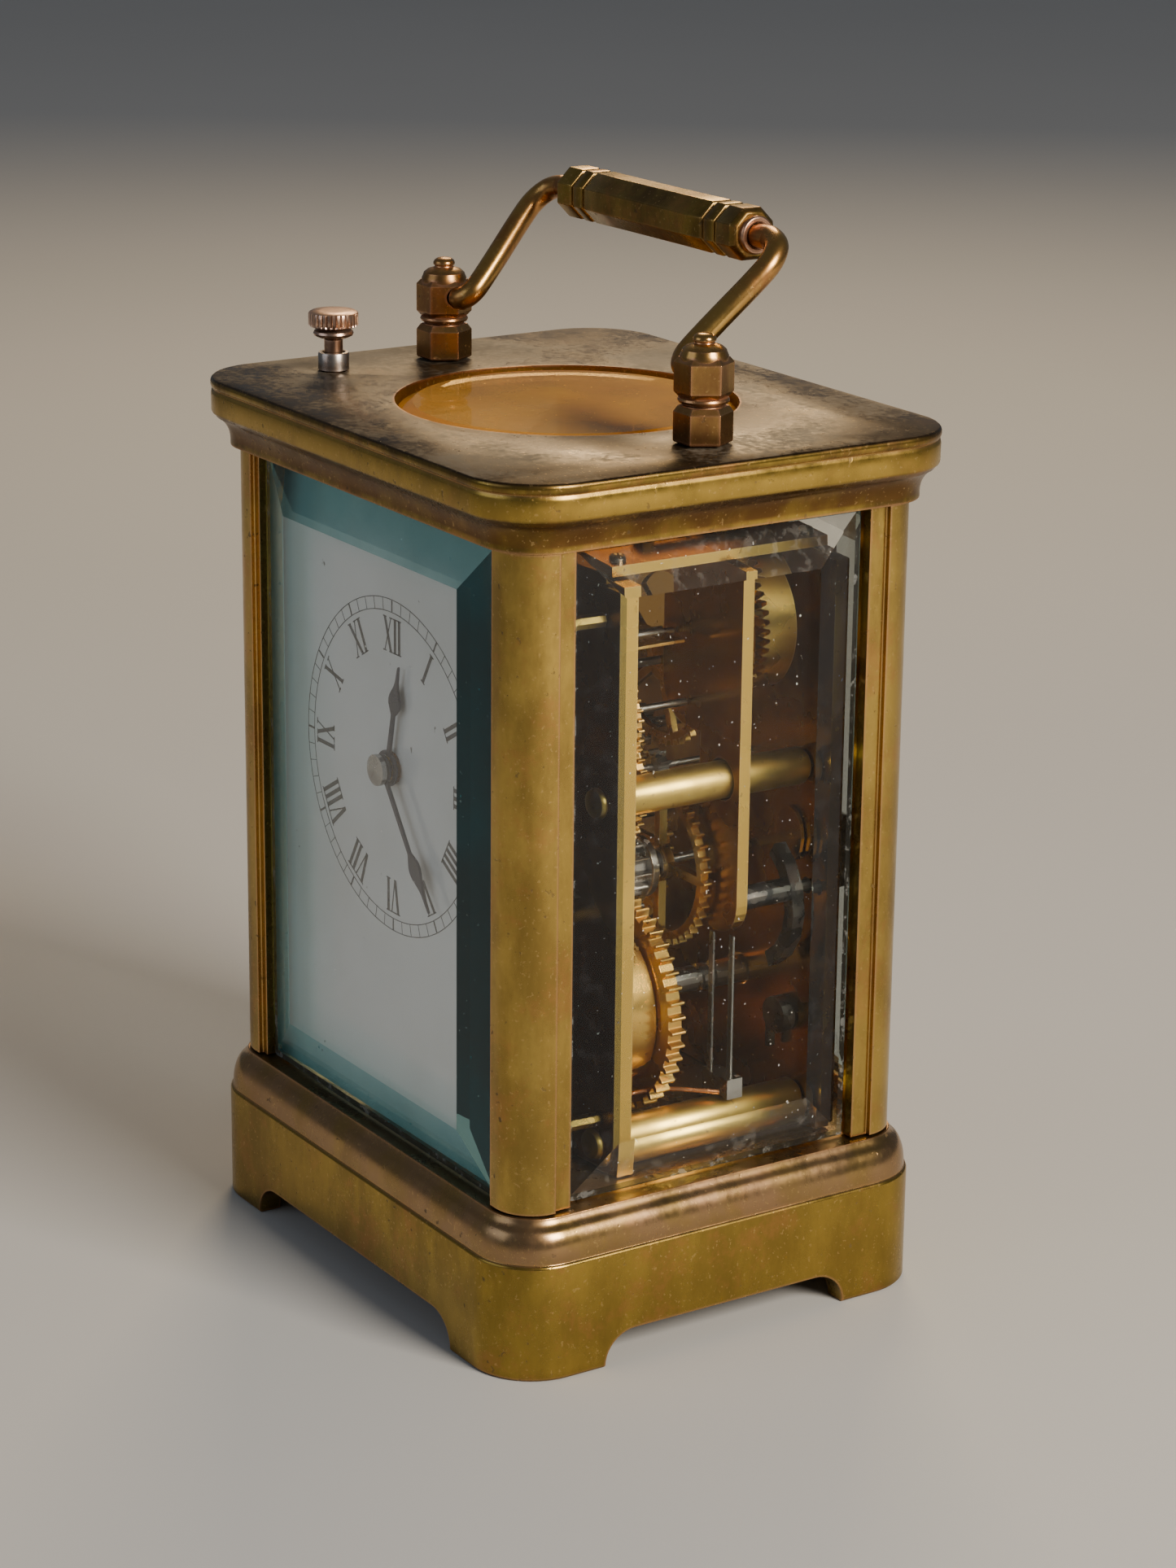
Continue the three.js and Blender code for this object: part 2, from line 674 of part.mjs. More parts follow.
// ---- movement frame: two plates, the bridge between them, and four pillars ----
const BARREL_X = 15;
const BARREL_Z = 46;
const WINDER_R = 2.2;
const HAMMER = [32.6, 65.4];
{
  const slab = (y) => block([-PLATE_HALF, PLATE_HALF], y, [PLATE_BOTTOM, PLATE_TOP]);
  add("front_movement_plate", slab(FRONT_PLATE), GILT_BRASS);
  const hole = (radius, x, z, sides = 12) => rod(radius, "y", [x, 0, z], 20, 30, sides);
  const holes = [
    hole(WINDER_R + 0.5, -BARREL_X, BARREL_Z),
    hole(WINDER_R + 0.5, BARREL_X, BARREL_Z),
    hole(1.6, 0, DIAL_Z),
    hole(1.4, ...HAMMER),
  ];
  add("back_movement_plate", cut(slab(BACK_PLATE), ...holes), GILT_BRASS);

  const leg = new THREE.Shape();
  leg.moveTo(25, 66);
  leg.absarc(30.4, 65.4, 5.4, Math.PI, 2 * Math.PI, false);
  leg.lineTo(35.8, 118.5);
  leg.lineTo(14.5, 118.5);
  leg.lineTo(14.5, 98);
  leg.absarc(21.4, 98, 6.9, Math.PI, 1.5 * Math.PI, false);
  leg.lineTo(25, 91.1);
  const passage = rod(3.4, "y", [PILLAR_X, 0, PILLAR_Z[1]], 0, 20, 16);
  add("movement_bridge", cut(plate(leg, "y", ...BRIDGE), passage), GILT_BRASS);

  for (const [side, sx] of [["left", -1], ["right", 1]]) {
    for (const [level, z] of [["lower", PILLAR_Z[0]], ["upper", PILLAR_Z[1]]]) {
      const [from, to] = [FRONT_PLATE[1] + GAP, BACK_PLATE[0] - GAP];
      const profile = [
        [0, from],
        [2.4, from],
        [3, from + 0.8],
        [3, to - 0.8],
        [2.4, to],
        [0, to],
      ];
      add(`pillar_${level}_${side}`, turned(profile, "y", [sx * PILLAR_X, 0, z], 16), GILT_BRASS);
    }
  }
}

// ---- barrels: toothed drum holding the mainspring, and the arbor that winds it from behind ----
const GREAT_TEETH = 48;
const GOING_MODULE = 0.755;
const STRIKE_MODULE = 0.75;
const DRUM_R = 14.6;
function barrel(x, module, drum, teethY, phase) {
  const at = [x, BARREL_Z];
  const wall = [
    [0, drum[0]],
    [DRUM_R - 0.5, drum[0]],
    [DRUM_R, drum[0] + 0.5],
    [DRUM_R, drum[1] - 0.5],
    [DRUM_R - 0.5, drum[1]],
    [0, drum[1]],
  ];
  const body = turned(wall, "y", [x, 0, BARREL_Z], 28);
  const whole = join(body, wheel(GREAT_TEETH, module, at, teethY, phase, 0));
  return cut(whole, rod(WINDER_R + 0.4, "y", [x, 0, BARREL_Z], -20, 20, 16));
}
function winder(x) {
  const at = [x, BARREL_Z];
  const shaft = [
    [0, FRONT_PLATE[1] + GAP],
    [WINDER_R, FRONT_PLATE[1] + GAP],
    [WINDER_R, 15],
    [WINDER_R - 0.5, 15.2],
    [WINDER_R - 0.5, 16],
    [WINDER_R, 16.2],
    [WINDER_R, 17.4],
    [WINDER_R - 0.5, 17.6],
    [WINDER_R - 0.5, 18.4],
    [WINDER_R, 18.6],
    [WINDER_R, 27.8],
    [0, 27.8],
  ];
  return join(turned(shaft, "y", [x, 0, BARREL_Z], 16), arbor(1.9, at, 27, 31.4, 4));
}

// ---- strike train, from the barrel up to the fly ----
const S1 = [BARREL_X, BARREL_Z];
const S2 = polar(S1, ((GREAT_TEETH + 11) * STRIKE_MODULE) / 2, 84);
const S3 = polar(S2, ((42 + 8) * 0.62) / 2, 94.5);
const S4 = polar(S3, ((40 + 6) * 0.56) / 2, 65.5);
const S5 = polar(S4, ((40 + 6) * 0.49) / 2, 110);
{
  const pivots = [FRONT_PLATE[1] + GAP, BACK_PLATE[0] - GAP];
  const toBridge = BRIDGE[0] - GAP;
  const p2 = 0;
  const p1 = meshPhase(p2, 11, GREAT_TEETH, S2, S1);
  add("strike_barrel", barrel(BARREL_X, STRIKE_MODULE, [-9.4, -1.1], [-1.2, 1.3], p1), WHEEL_BRASS);
  add("strike_winding_arbor", winder(BARREL_X), STEEL);

  const w2 = 0;
  const pins = Array.from({ length: 8 }, (_, i) => arbor(0.45, polar(S2, 11.8, 45 * i + 10), 7.4, 8.4, 6));
  add(
    "strike_pin_wheel",
    join(
      pinion(11, STRIKE_MODULE, S2, [-2, 2.2], p2),
      arbor(5, S2, 2, 3.6, 20),
      wheel(42, 0.62, S2, [6.2, 7.6], w2, 4),
      ...pins,
      arbor(1.4, S2, 3.4, 6.6),
      arbor(0.8, S2, ...pivots),
    ),
    WHEEL_BRASS,
  );

  const p3 = meshPhase(w2, 42, 8, S2, S3);
  const w3 = 0;
  add(
    "strike_gathering_wheel",
    join(
      pinion(8, 0.62, S3, [5.9, 7.9], p3),
      wheel(40, 0.56, S3, [-3.6, -2.4], w3, 4),
      arbor(0.5, S3, ...pivots),
    ),
    WHEEL_BRASS,
  );

  const p4 = meshPhase(w3, 40, 6, S3, S4);
  const w4 = 0;
  add(
    "strike_warning_wheel",
    join(
      pinion(6, 0.56, S4, [-4.2, -1.8], p4),
      wheel(40, 0.49, S4, [-7, -6], w4, 4),
      arbor(0.6, S4, pivots[0], toBridge),
    ),
    WHEEL_BRASS,
  );

  const p5 = meshPhase(w4, 40, 6, S4, S5);
  const blade = block([S5[0] - 6.2, S5[0] + 6.2], [-4, 6.4], [S5[1] - 0.25, S5[1] + 0.25]);
  add(
    "strike_fly",
    join(
      pinion(6, 0.49, S5, [-7.6, -5.4], p5),
      blade,
      arbor(1, S5, -4, 6.4),
      arbor(0.55, S5, pivots[0], toBridge),
    ),
    WHEEL_BRASS,
  );
}

// ---- going train, from the barrel to the contrate wheel ----
const T1 = [-BARREL_X, BARREL_Z];
const CENTRE = [0, DIAL_Z];
const INTER_MODULE = 0.745;
const T2 = meet(T1, ((GREAT_TEETH + 8) * GOING_MODULE) / 2, CENTRE, ((48 + 8) * INTER_MODULE) / 2);
const T5 = [21.5, 107.3];
const T4 = meet(CENTRE, ((48 + 6) * 0.6) / 2, T5, ((45 + 6) * 0.6) / 2);
const CROWN_TEETH = 48;
const CROWN_R = 10.7;
const CROWN_TIP_Y = 14.6;
const CROWN_FOOT_Y = 16;
{
  const pivots = [FRONT_PLATE[1] + GAP, BACK_PLATE[0] - GAP];
  const a2 = 0;
  const a1 = meshPhase(a2, 8, GREAT_TEETH, T2, T1);
  add("going_barrel", barrel(-BARREL_X, GOING_MODULE, [4.3, 12.6], [2, 4.4], a1), WHEEL_BRASS);
  add("going_winding_arbor", winder(-BARREL_X), STEEL);

  const b2 = 0;
  add(
    "intermediate_wheel",
    join(
      pinion(8, GOING_MODULE, T2, [1.6, 4.8], a2),
      wheel(48, INTER_MODULE, T2, [14, 15.2], b2, 5),
      arbor(1, T2, ...pivots),
    ),
    WHEEL_BRASS,
  );

  const a3 = meshPhase(b2, 48, 8, T2, CENTRE);
  const b3 = 0;
  add(
    "centre_wheel",
    join(
      pinion(8, INTER_MODULE, CENTRE, [13.4, 15.8], a3),
      wheel(48, 0.6, CENTRE, [4.4, 5.6], b3, 5),
      arbor(0.9, CENTRE, pivots[0], 28),
      arbor(1.2, CENTRE, 27.6, 31, 4),
    ),
    WHEEL_BRASS,
  );

  const a4 = meshPhase(b3, 48, 6, CENTRE, T4);
  const b4 = 0;
  add(
    "third_wheel",
    join(
      pinion(6, 0.6, T4, [3.8, 6.2], a4),
      wheel(45, 0.6, T4, [11.6, 12.6], b4, 5),
      arbor(0.7, T4, ...pivots),
    ),
    WHEEL_BRASS,
  );

  // The contrate wheel's teeth stand on the front edge of its band.
  const a5 = meshPhase(b4, 45, 6, T4, T5);
  const crown = [];
  const [inner, outer] = [CROWN_R - 0.8, CROWN_R + 0.8];
  const spots = [[-0.32, CROWN_FOOT_Y], [0, CROWN_TIP_Y], [0.32, CROWN_FOOT_Y]];
  for (let i = 0; i < CROWN_TEETH; i++) {
    for (const [part, y] of spots) crown.push([((i + part) * 2 * Math.PI) / CROWN_TEETH + Math.PI / 2, y]);
  }
  const count = crown.length;
  const vertices = [];
  for (const [radius, back] of [[outer, false], [inner, false], [outer, true], [inner, true]]) {
    for (const [a, y] of crown) {
      vertices.push(T5[0] + radius * Math.cos(a), back ? 21 : y, T5[1] + radius * Math.sin(a));
    }
  }
  const faces = [];
  const quad = (a, b, c, d) => faces.push(a, b, c, a, c, d);
  for (let i = 0; i < count; i++) {
    const j = (i + 1) % count;
    quad(i, i + 2 * count, j + 2 * count, j);
    quad(j + count, j + 3 * count, i + 3 * count, i + count);
    quad(i + count, i, j, j + count);
    quad(j + 3 * count, j + 2 * count, i + 2 * count, i + 3 * count);
  }
  const band = new THREE.BufferGeometry();
  band.setAttribute("position", new THREE.Float32BufferAttribute(vertices, 3));
  band.setIndex(faces);
  const [cx, cz] = T5;
  const spoke = (wide, high) => block([cx - wide, cx + wide], [19.6, 20.8], [cz - high, cz + high]);
  add(
    "contrate_wheel",
    join(
      solid(band),
      spoke(inner + 0.2, 0.8),
      spoke(0.8, inner + 0.2),
      arbor(2.4, T5, 19.6, 20.8, 12),
      pinion(6, 0.6, T5, [11.2, 13.1], a5),
      arbor(0.7, T5, BRIDGE[1] + GAP, pivots[1]),
    ),
    WHEEL_BRASS,
  );
}

// ---- platform escapement: escape wheel, lever and balance on a plate above the movement ----
const ESCAPE_PINION_R = 1.4;
const ESCAPE = [T5[0], 15 - ESCAPE_PINION_R];
const BALANCE = [7.6, 3.2];
{
  const platform = cut(
    block([-17, 32], [-13, 26.5], [119.4, 121]),
    rod(2.4, "z", [...ESCAPE, 0], 110, 125, 16),
  );
  add("escapement_platform", platform, GILT_BRASS);

  const leaf = toothRing(6, 0.46, 0.6, 0.9, -Math.PI / 2 + Math.PI / 6, true);
  const leaves = plate(outline(leaf.map(([x, y]) => [x + ESCAPE[0], y + ESCAPE[1]])), "z", 116.5, 118.9);
  const points = [];
  const ESCAPE_TEETH = 15;
  for (let i = 0; i < ESCAPE_TEETH; i++) {
    const a = (2 * Math.PI * i) / ESCAPE_TEETH;
    for (const [radius, part] of [[3.9, 0.02], [5.1, 0.16], [5.1, 0.3], [4.1, 0.34]]) {
      const b = a + (part * 2 * Math.PI) / ESCAPE_TEETH;
      points.push([ESCAPE[0] + radius * Math.cos(b), ESCAPE[1] + radius * Math.sin(b)]);
    }
  }
  const shaft = rod(0.5, "z", [...ESCAPE, 0], 116, 123.9, 8);
  add("escape_wheel", join(leaves, plate(outline(points), "z", 122.2, 122.7), shaft), WHEEL_BRASS);

  const line = Math.atan2(BALANCE[1] - ESCAPE[1], BALANCE[0] - ESCAPE[0]);
  const onLine = (along, aside) => [
    ESCAPE[0] + along * Math.cos(line) - aside * Math.sin(line),
    ESCAPE[1] + along * Math.sin(line) + aside * Math.cos(line),
  ];
  const LEVER_AT = 7.6;
  const reach = Math.hypot(BALANCE[0] - ESCAPE[0], BALANCE[1] - ESCAPE[1]);
  const lever = [
    [3.4, 5.2],
    [4.2, 5.4],
    [LEVER_AT + 0.9, 1],
    [reach - 3, 0.5],
    [reach - 1.7, 1.3],
    [reach - 1.7, 0.6],
    [reach - 2.6, 0],
    [reach - 1.7, -0.6],
    [reach - 1.7, -1.3],
    [reach - 3, -0.5],
    [LEVER_AT + 0.9, -1],
    [4.2, -5.4],
    [3.4, -5.2],
    [LEVER_AT - 1.2, 0],
  ].map(([along, aside]) => onLine(along, aside));
  const staff = rod(0.45, "z", [...onLine(LEVER_AT, 0), 0], 121.3, 123.9, 8);
  add("pallet_lever", join(plate(outline(lever), "z", 122.2, 122.8), staff), STEEL);

  const rim = pipe(8, 6.9, "z", [...BALANCE, 0], 124.4, 125.6, 32);
  const [bx, by] = BALANCE;
  const arms = block([bx - 7.2, bx + 7.2], [by - 0.6, by + 0.6], [124.7, 125.3]);
  const balanceStaff = rod(0.6, "z", [...BALANCE, 0], 121.3, 127, 8);
  const roller = rod(1.5, "z", [...BALANCE, 0], 123.4, 124, 12);
  add("balance_wheel", join(rim, arms, balanceStaff, roller), WHEEL_BRASS);

  const cock = outline([
    [BALANCE[0] + 2.6, BALANCE[1] + 1],
    [BALANCE[0] + 1, BALANCE[1] + 2.6],
    [-7, 3],
    [-12, 2],
    [-14, -4],
    [-9, -8],
    [BALANCE[0] - 1, BALANCE[1] - 2.6],
    [BALANCE[0] + 2.6, BALANCE[1] - 1.4],
  ]);
  const foot = block([-13, -4], [-5, 2], [121.3, 127.6]);
  add("balance_cock", join(plate(cock, "z", 127.3, 128.7), foot), GILT_BRASS);
  const strip = (y, z) => block([ESCAPE[0] - 1.6, ESCAPE[0] + 1.6], y, z);
  const bridgeFeet = [strip([19.8, 22], [121.3, 125.2]), strip([-2, 0], [121.3, 125.2])];
  add("escapement_bridge", join(strip([-2, 22], [124.2, 125.2]), ...bridgeFeet), GILT_BRASS);
}

// ---- hammer, its springs, and the gong behind the back plate ----
{
  const [hx, hz] = HAMMER;
  const bow = (radius, from, to) => Array.from({ length: 7 }, (_, i) => {
    const a = ((from + ((to - from) * i) / 6) * Math.PI) / 180;
    return [hx - 9.4 + radius * Math.cos(a), hz - 3.4 + radius * Math.sin(a)];
  });
  const arc = [...bow(12, -62, 58), ...bow(9.6, -62, 58).reverse()];
  const outside = outline([
    [hx - 1.2, hz - 1],
    [hx + 1.2, hz + 0.6],
    [hx - 1.6, hz + 9],
    [hx - 3.2, hz + 8],
  ]);
  add(
    "hammer",
    join(
      arbor(1.9, HAMMER, 11.4, 21, 14),
      arbor(0.9, HAMMER, BRIDGE[1] + GAP, 31, 10),
      plate(outline(arc), "y", 20.2, 22.4),
      plate(outside, "y", 29.4, 30.6),
      rod(2, "x", [0, 30, hz + 8.6], hx - 4.7, hx - 1.2, 12),
    ),
    STEEL,
  );
  const leaf = (y, x) => block([x, x + 1.1], [y, y + 0.35], [34, 59.3]);
  const footing = block([27.4, 34.2], [8.9, 11.8], [32.7, 36]);
  add("hammer_springs", join(footing, leaf(9.2, 28), leaf(10.6, 31.4)), BLUED);

  const turns = 2.2;
  const coilCentre = [0, 72];
  const perTurn = 20;
  const coil = [];
  for (let side = 0; side < 2; side++) {
    const stretch = Array.from({ length: Math.round(turns * perTurn) + 1 }, (_, i) => {
      const a = (i / perTurn) * 2 * Math.PI;
      const radius = 24 - (i / perTurn) * 3 - side * 1.1;
      return [coilCentre[0] + radius * Math.cos(a), coilCentre[1] - radius * Math.sin(a)];
    });
    coil.push(...(side ? stretch.reverse() : stretch));
  }
  const gongBlock = block([22.3, 27], [27.5, 31], [70.8, 78]);
  add("gong_coil", join(plate(outline(coil), "y", 28.9, 30), gongBlock), BLUED);

  const seal = new THREE.Shape().absellipse(28.5, 73, 3.6, 4.6, 0, 2 * Math.PI, false);
  add("oval_seal", plate(seal, "y", BACK_PLATE[0] - GAP - 0.6, BACK_PLATE[0] - GAP), GILT_BRASS);
  const clickHub = arbor(3, [28, 42.5], BACK_PLATE[0] - GAP - 2.2, BACK_PLATE[0] - GAP, 16);
  const clickTail = block([25.6, 26.4], [BACK_PLATE[0] - GAP - 2, BACK_PLATE[0] - GAP - 0.6], [36.5, 43]);
  add("strike_click", join(clickHub, clickTail), STEEL);
}

export default clock;
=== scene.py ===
import json
import math

import bmesh
import bpy
from mathutils import Matrix, Vector


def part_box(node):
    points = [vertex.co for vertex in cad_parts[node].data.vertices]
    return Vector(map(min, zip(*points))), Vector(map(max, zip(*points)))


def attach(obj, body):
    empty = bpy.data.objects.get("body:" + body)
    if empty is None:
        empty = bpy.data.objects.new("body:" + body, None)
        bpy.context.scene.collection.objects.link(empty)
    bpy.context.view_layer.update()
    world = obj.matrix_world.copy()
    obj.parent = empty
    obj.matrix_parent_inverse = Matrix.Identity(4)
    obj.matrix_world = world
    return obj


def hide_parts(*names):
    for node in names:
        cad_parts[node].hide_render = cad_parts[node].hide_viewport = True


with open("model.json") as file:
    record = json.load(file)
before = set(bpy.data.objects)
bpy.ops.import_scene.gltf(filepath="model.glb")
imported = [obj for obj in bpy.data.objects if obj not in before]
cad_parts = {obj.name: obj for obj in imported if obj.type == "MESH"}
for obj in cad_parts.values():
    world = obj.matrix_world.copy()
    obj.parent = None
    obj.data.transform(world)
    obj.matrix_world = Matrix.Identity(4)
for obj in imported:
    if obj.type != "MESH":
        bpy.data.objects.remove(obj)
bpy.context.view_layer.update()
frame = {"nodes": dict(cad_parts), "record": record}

# ---- Base ----
# A cast and machined brass plinth: plain sides, an ovolo rising to the posts, and a low arch cut
# through each side so that it stands on four corner feet. It is hollow below and carries the case.
MM = 0.001


class Tone:
    """A value, colour or vector running through a material's nodes."""

    def __init__(self, tree, socket=None):
        self.tree = tree
        self.socket = socket

    def node(self, kind, settings=None, inputs=None, output=0):
        made = self.tree.nodes.new(kind)
        for name, value in (settings or {}).items():
            setattr(made, name, value)
        for name, value in (inputs or {}).items():
            if isinstance(value, Tone):
                self.tree.links.new(value.socket, made.inputs[name])
            else:
                made.inputs[name].default_value = value
        return Tone(self.tree, made.outputs[output] if made.outputs else None)

    def math(self, operation, first, second):
        return self.node("ShaderNodeMath", {"operation": operation}, {0: first, 1: second})

    def __add__(self, other):
        return self.math("ADD", self, other)

    def __radd__(self, other):
        return self.math("ADD", other, self)

    def __sub__(self, other):
        return self.math("SUBTRACT", self, other)

    def __rsub__(self, other):
        return self.math("SUBTRACT", other, self)

    def __mul__(self, other):
        return self.math("MULTIPLY", self, other)

    def __rmul__(self, other):
        return self.math("MULTIPLY", other, self)

    def above(self, low, high):
        settings = {"clamp": True, "interpolation_type": "SMOOTHSTEP"}
        inputs = {"Value": self, "From Min": low, "From Max": high}
        return self.node("ShaderNodeMapRange", settings, inputs)

    def between(self, low, high, fade):
        return self.above(low - fade, low + fade) * (1 - self.above(high - fade, high + fade))


def start_finish(name):
    material = bpy.data.materials.new(name)
    material.use_nodes = True
    return material, Tone(material.node_tree)


def surface_of(material):
    return material.node_tree.nodes["Principled BSDF"].inputs


def drive(material, **tones):
    sockets = surface_of(material)
    for name, tone in tones.items():
        socket = sockets[name.replace("_", " ").title()]
        if isinstance(tone, Tone):
            material.node_tree.links.new(tone.socket, socket)
        else:
            socket.default_value = tone


def blend_colour(tone, amount, under, over):
    return tone.node("ShaderNodeMix", {"data_type": "RGBA"}, {0: amount, 6: under, 7: over}, 2)


def cloud(tone, scale, detail=3.0, stretch=None, rough=0.5):
    place = tone.node("ShaderNodeTexCoord", output=3)
    if stretch:
        place = tone.node("ShaderNodeMapping", {}, {"Vector": place, "Scale": stretch})
    inputs = {"Vector": place, "Scale": scale, "Detail": detail, "Roughness": rough}
    return tone.node("ShaderNodeTexNoise", {}, inputs)


def edge_wear(tone, radius):
    """1 on rubbed edges, 0 on open faces."""
    eased = tone.node("ShaderNodeBevel", {"samples": 4}, {"Radius": radius})
    true = tone.node("ShaderNodeNewGeometry", output=1)
    facing = tone.node("ShaderNodeVectorMath", {"operation": "DOT_PRODUCT"}, {0: eased, 1: true}, 1)
    return (1 - facing).above(0.015, 0.14)


def bumped(tone, height, strength, distance):
    return tone.node("ShaderNodeBump", {}, {"Height": height, "Strength": strength, "Distance": distance})


COPPER_BLUSH = (0.46, 0.2, 0.07, 1)
# The brown of the painted shade in the hollows.
HOLLOW_SHADE_BROWN = (0.06, 0.035, 0.014, 1)
SPARK_GOLD = (0.75, 0.5, 0.2, 1)
PIT_BROWN = (0.06, 0.035, 0.012, 1)
DUST_GREY = (0.13, 0.11, 0.085, 1)
# The middle value is how far the painted shade in the hollows reaches.
WEAR_WIDTH, HOLLOW_SHADE_REACH, DENT_DEPTH = 0.0008, 0.0035, 0.00012
BAND_FADE = 0.35


def aged_brass(name, light, dark, copper, dust=0.0, worn=1.0, gloss=0.2, bands=()):
    """Old lacquered brass: clouded tarnish, dark specks, copper-pink rubbed edges, dust that lies on top,
    and painted shade that darkens the hollows.
    Each band is a lowest and highest level in millimetres, a colour and how much of it shows."""
    material, tone = start_finish(name)
    clouds = cloud(tone, 45, 6, None, 0.62)
    streaks = cloud(tone, 170, 5, (1, 1, 0.35), 0.65)
    grain = cloud(tone, 900, 3)
    tarnish = (clouds * 0.5 + streaks * 0.5).above(0.36, 0.64)
    sparks = cloud(tone, 1700, 2).above(0.64, 0.7)
    pits = cloud(tone, 700, 3).above(0.67, 0.74)
    colour = blend_colour(tone, tarnish, light, dark)
    blush = cloud(tone, 95, 7, None, 0.75).above(0.5, 0.66)
    colour = blend_colour(tone, blush * 0.4, colour, COPPER_BLUSH)
    level = tone.node("ShaderNodeSeparateXYZ", {}, {0: tone.node("ShaderNodeTexCoord", output=3)}, 2)
    for low, high, paint, amount in bands:
        inside = level.between(low * MM, high * MM, BAND_FADE * MM)
        patchy = 0.55 + 0.45 * cloud(tone, 130, 5).above(0.36, 0.6)
        colour = blend_colour(tone, inside * patchy * amount, colour, paint)
    # Painted shade: ambient occlusion darkens the hollows and the joints between mouldings to brown; the
    # same mask also roughens them as grime.
    hollows = tone.node("ShaderNodeAmbientOcclusion", {"samples": 4}, {"Distance": HOLLOW_SHADE_REACH}, 1)
    hollow_shade_and_grime = (1 - hollows).above(0.25, 0.85)
    colour = blend_colour(tone, hollow_shade_and_grime * 0.7, colour, HOLLOW_SHADE_BROWN)
    colour = blend_colour(tone, edge_wear(tone, WEAR_WIDTH) * worn, colour, copper)
    colour = blend_colour(tone, sparks * 0.3, colour, SPARK_GOLD)
    colour = blend_colour(tone, pits * 0.6, colour, PIT_BROWN)
    rough = gloss + 0.14 * tarnish + 0.1 * (grain - 0.5) + 0.2 * pits + 0.2 * hollow_shade_and_grime
    metal = 1 - 0.4 * pits
    if dust:
        normal = tone.node("ShaderNodeNewGeometry", output=1)
        up = tone.node("ShaderNodeSeparateXYZ", {}, {0: normal}, 2).above(0.75, 0.98)
        drift = (cloud(tone, 30, 7, None, 0.65) * 0.8 + grain * 0.2).above(0.46, 0.62)
        lying = up * (0.12 + 0.75 * drift) * dust
        colour = blend_colour(tone, lying, colour, DUST_GREY)
        rough = rough + 0.45 * lying
        metal = metal - 0.8 * lying
    drive(material, base_color=colour, roughness=rough, metallic=metal)
    height = 0.5 * grain + 0.6 * cloud(tone, 220, 3) - pits
    drive(material, normal=bumped(tone, height, 0.2, DENT_DEPTH))
    return material


OLIVE_GOLD = (0.38, 0.255, 0.05, 1)
OLIVE_SHADE = (0.24, 0.16, 0.035, 1)
COPPER_PINK = (0.6, 0.32, 0.16, 1)
PLINTH_TOP = 18.7
ovolo_band = (PLINTH_TOP + 0.4, 27, (0.36, 0.22, 0.13, 1), 0.75)
base_brass = aged_brass("base_brass", OLIVE_GOLD, OLIVE_SHADE, COPPER_PINK, 0.15, bands=[ovolo_band])


def rounded_ring(width, depth, radius, per_corner=14):
    points = []
    for corner, (sx, sy) in enumerate([(1, 1), (-1, 1), (-1, -1), (1, -1)]):
        for step in range(per_corner + 1):
            angle = (corner + step / per_corner) * math.pi / 2
            x = sx * (width / 2 - radius) + radius * math.cos(angle)
            y = sy * (depth / 2 - radius) + radius * math.sin(angle)
            points.append((x, y))
    return points


def make_piece(name, points, faces, material=None):
    """A mesh in metres from points in millimetres, with its faces turned outwards."""
    mesh = bpy.data.meshes.new(name)
    mesh.from_pydata([tuple(c * MM for c in p) for p in points], [], faces)
    made = bmesh.new()
    made.from_mesh(mesh)
    bmesh.ops.remove_doubles(made, verts=made.verts, dist=1e-7)
    bmesh.ops.recalc_face_normals(made, faces=made.faces)
    made.to_mesh(mesh)
    made.free()
    piece = bpy.data.objects.new(name, mesh)
    bpy.context.collection.objects.link(piece)
    if material:
        mesh.materials.append(material)
    return piece


def skin_rings(rings, close_ends=True, loop=False):
    """Faces that join rings of equal point count, one above the other."""
    count = len(rings[0])
    points = [p for ring in rings for p in ring]
    faces = []
    levels = len(rings) if loop else len(rings) - 1
    for level in range(levels):
        low = level * count
        high = ((level + 1) % len(rings)) * count
        for i in range(count):
            j = (i + 1) % count
            faces.append((low + i, low + j, high + j, high + i))
    if close_ends and not loop:
        faces.append(tuple(reversed(range(count))))
        faces.append(tuple(range(len(points) - count, len(points))))
    return points, faces


def moulded(name, profile, width, depth, radius, material=None):
    rings = []
    for grow, z in profile:
        ring = rounded_ring(width + 2 * grow, depth + 2 * grow, radius + grow)
        rings.append([(x, y, z) for x, y in ring])
    return make_piece(name, *skin_rings(rings), material)


def cut_away(piece, cutters):
    """Takes each cutter out of the piece's mesh, and the cutter out of the scene."""
    for cutter in cutters:
        step = piece.modifiers.new("cut", "BOOLEAN")
        step.object = cutter
        step.solver = "EXACT"
        seen = piece.evaluated_get(bpy.context.evaluated_depsgraph_get())
        old, done = piece.data, bpy.data.meshes.new_from_object(seen)
        piece.modifiers.clear()
        piece.data = done
        bpy.data.meshes.remove(old)
        bpy.data.objects.remove(cutter)


def break_edges(piece, width, segments, angle):
    bevel = piece.modifiers.new("broken_edges", "BEVEL")
    bevel.width = width * MM
    bevel.segments = segments
    bevel.limit_method = "ANGLE"
    bevel.angle_limit = math.radians(angle)
    return bevel


def soften(piece, width, segments=2, angle=35):
    """Breaks the sharp edges and smooths the shading of the curved faces."""
    if width:
        break_edges(piece, width, segments, angle).harden_normals = True
    piece.data.shade_smooth()
    piece.data.set_sharp_from_angle(angle=math.radians(angle))


def finish_piece(piece, body, slot, *nodes):
    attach(piece, body)
    if nodes:
        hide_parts(*nodes)


def along(axis, a, b, c):
    """A point with c along the named axis, and a and b along the other two in their order."""
    return {"x": (c, a, b), "y": (a, c, b), "z": (a, b, c)}[axis]


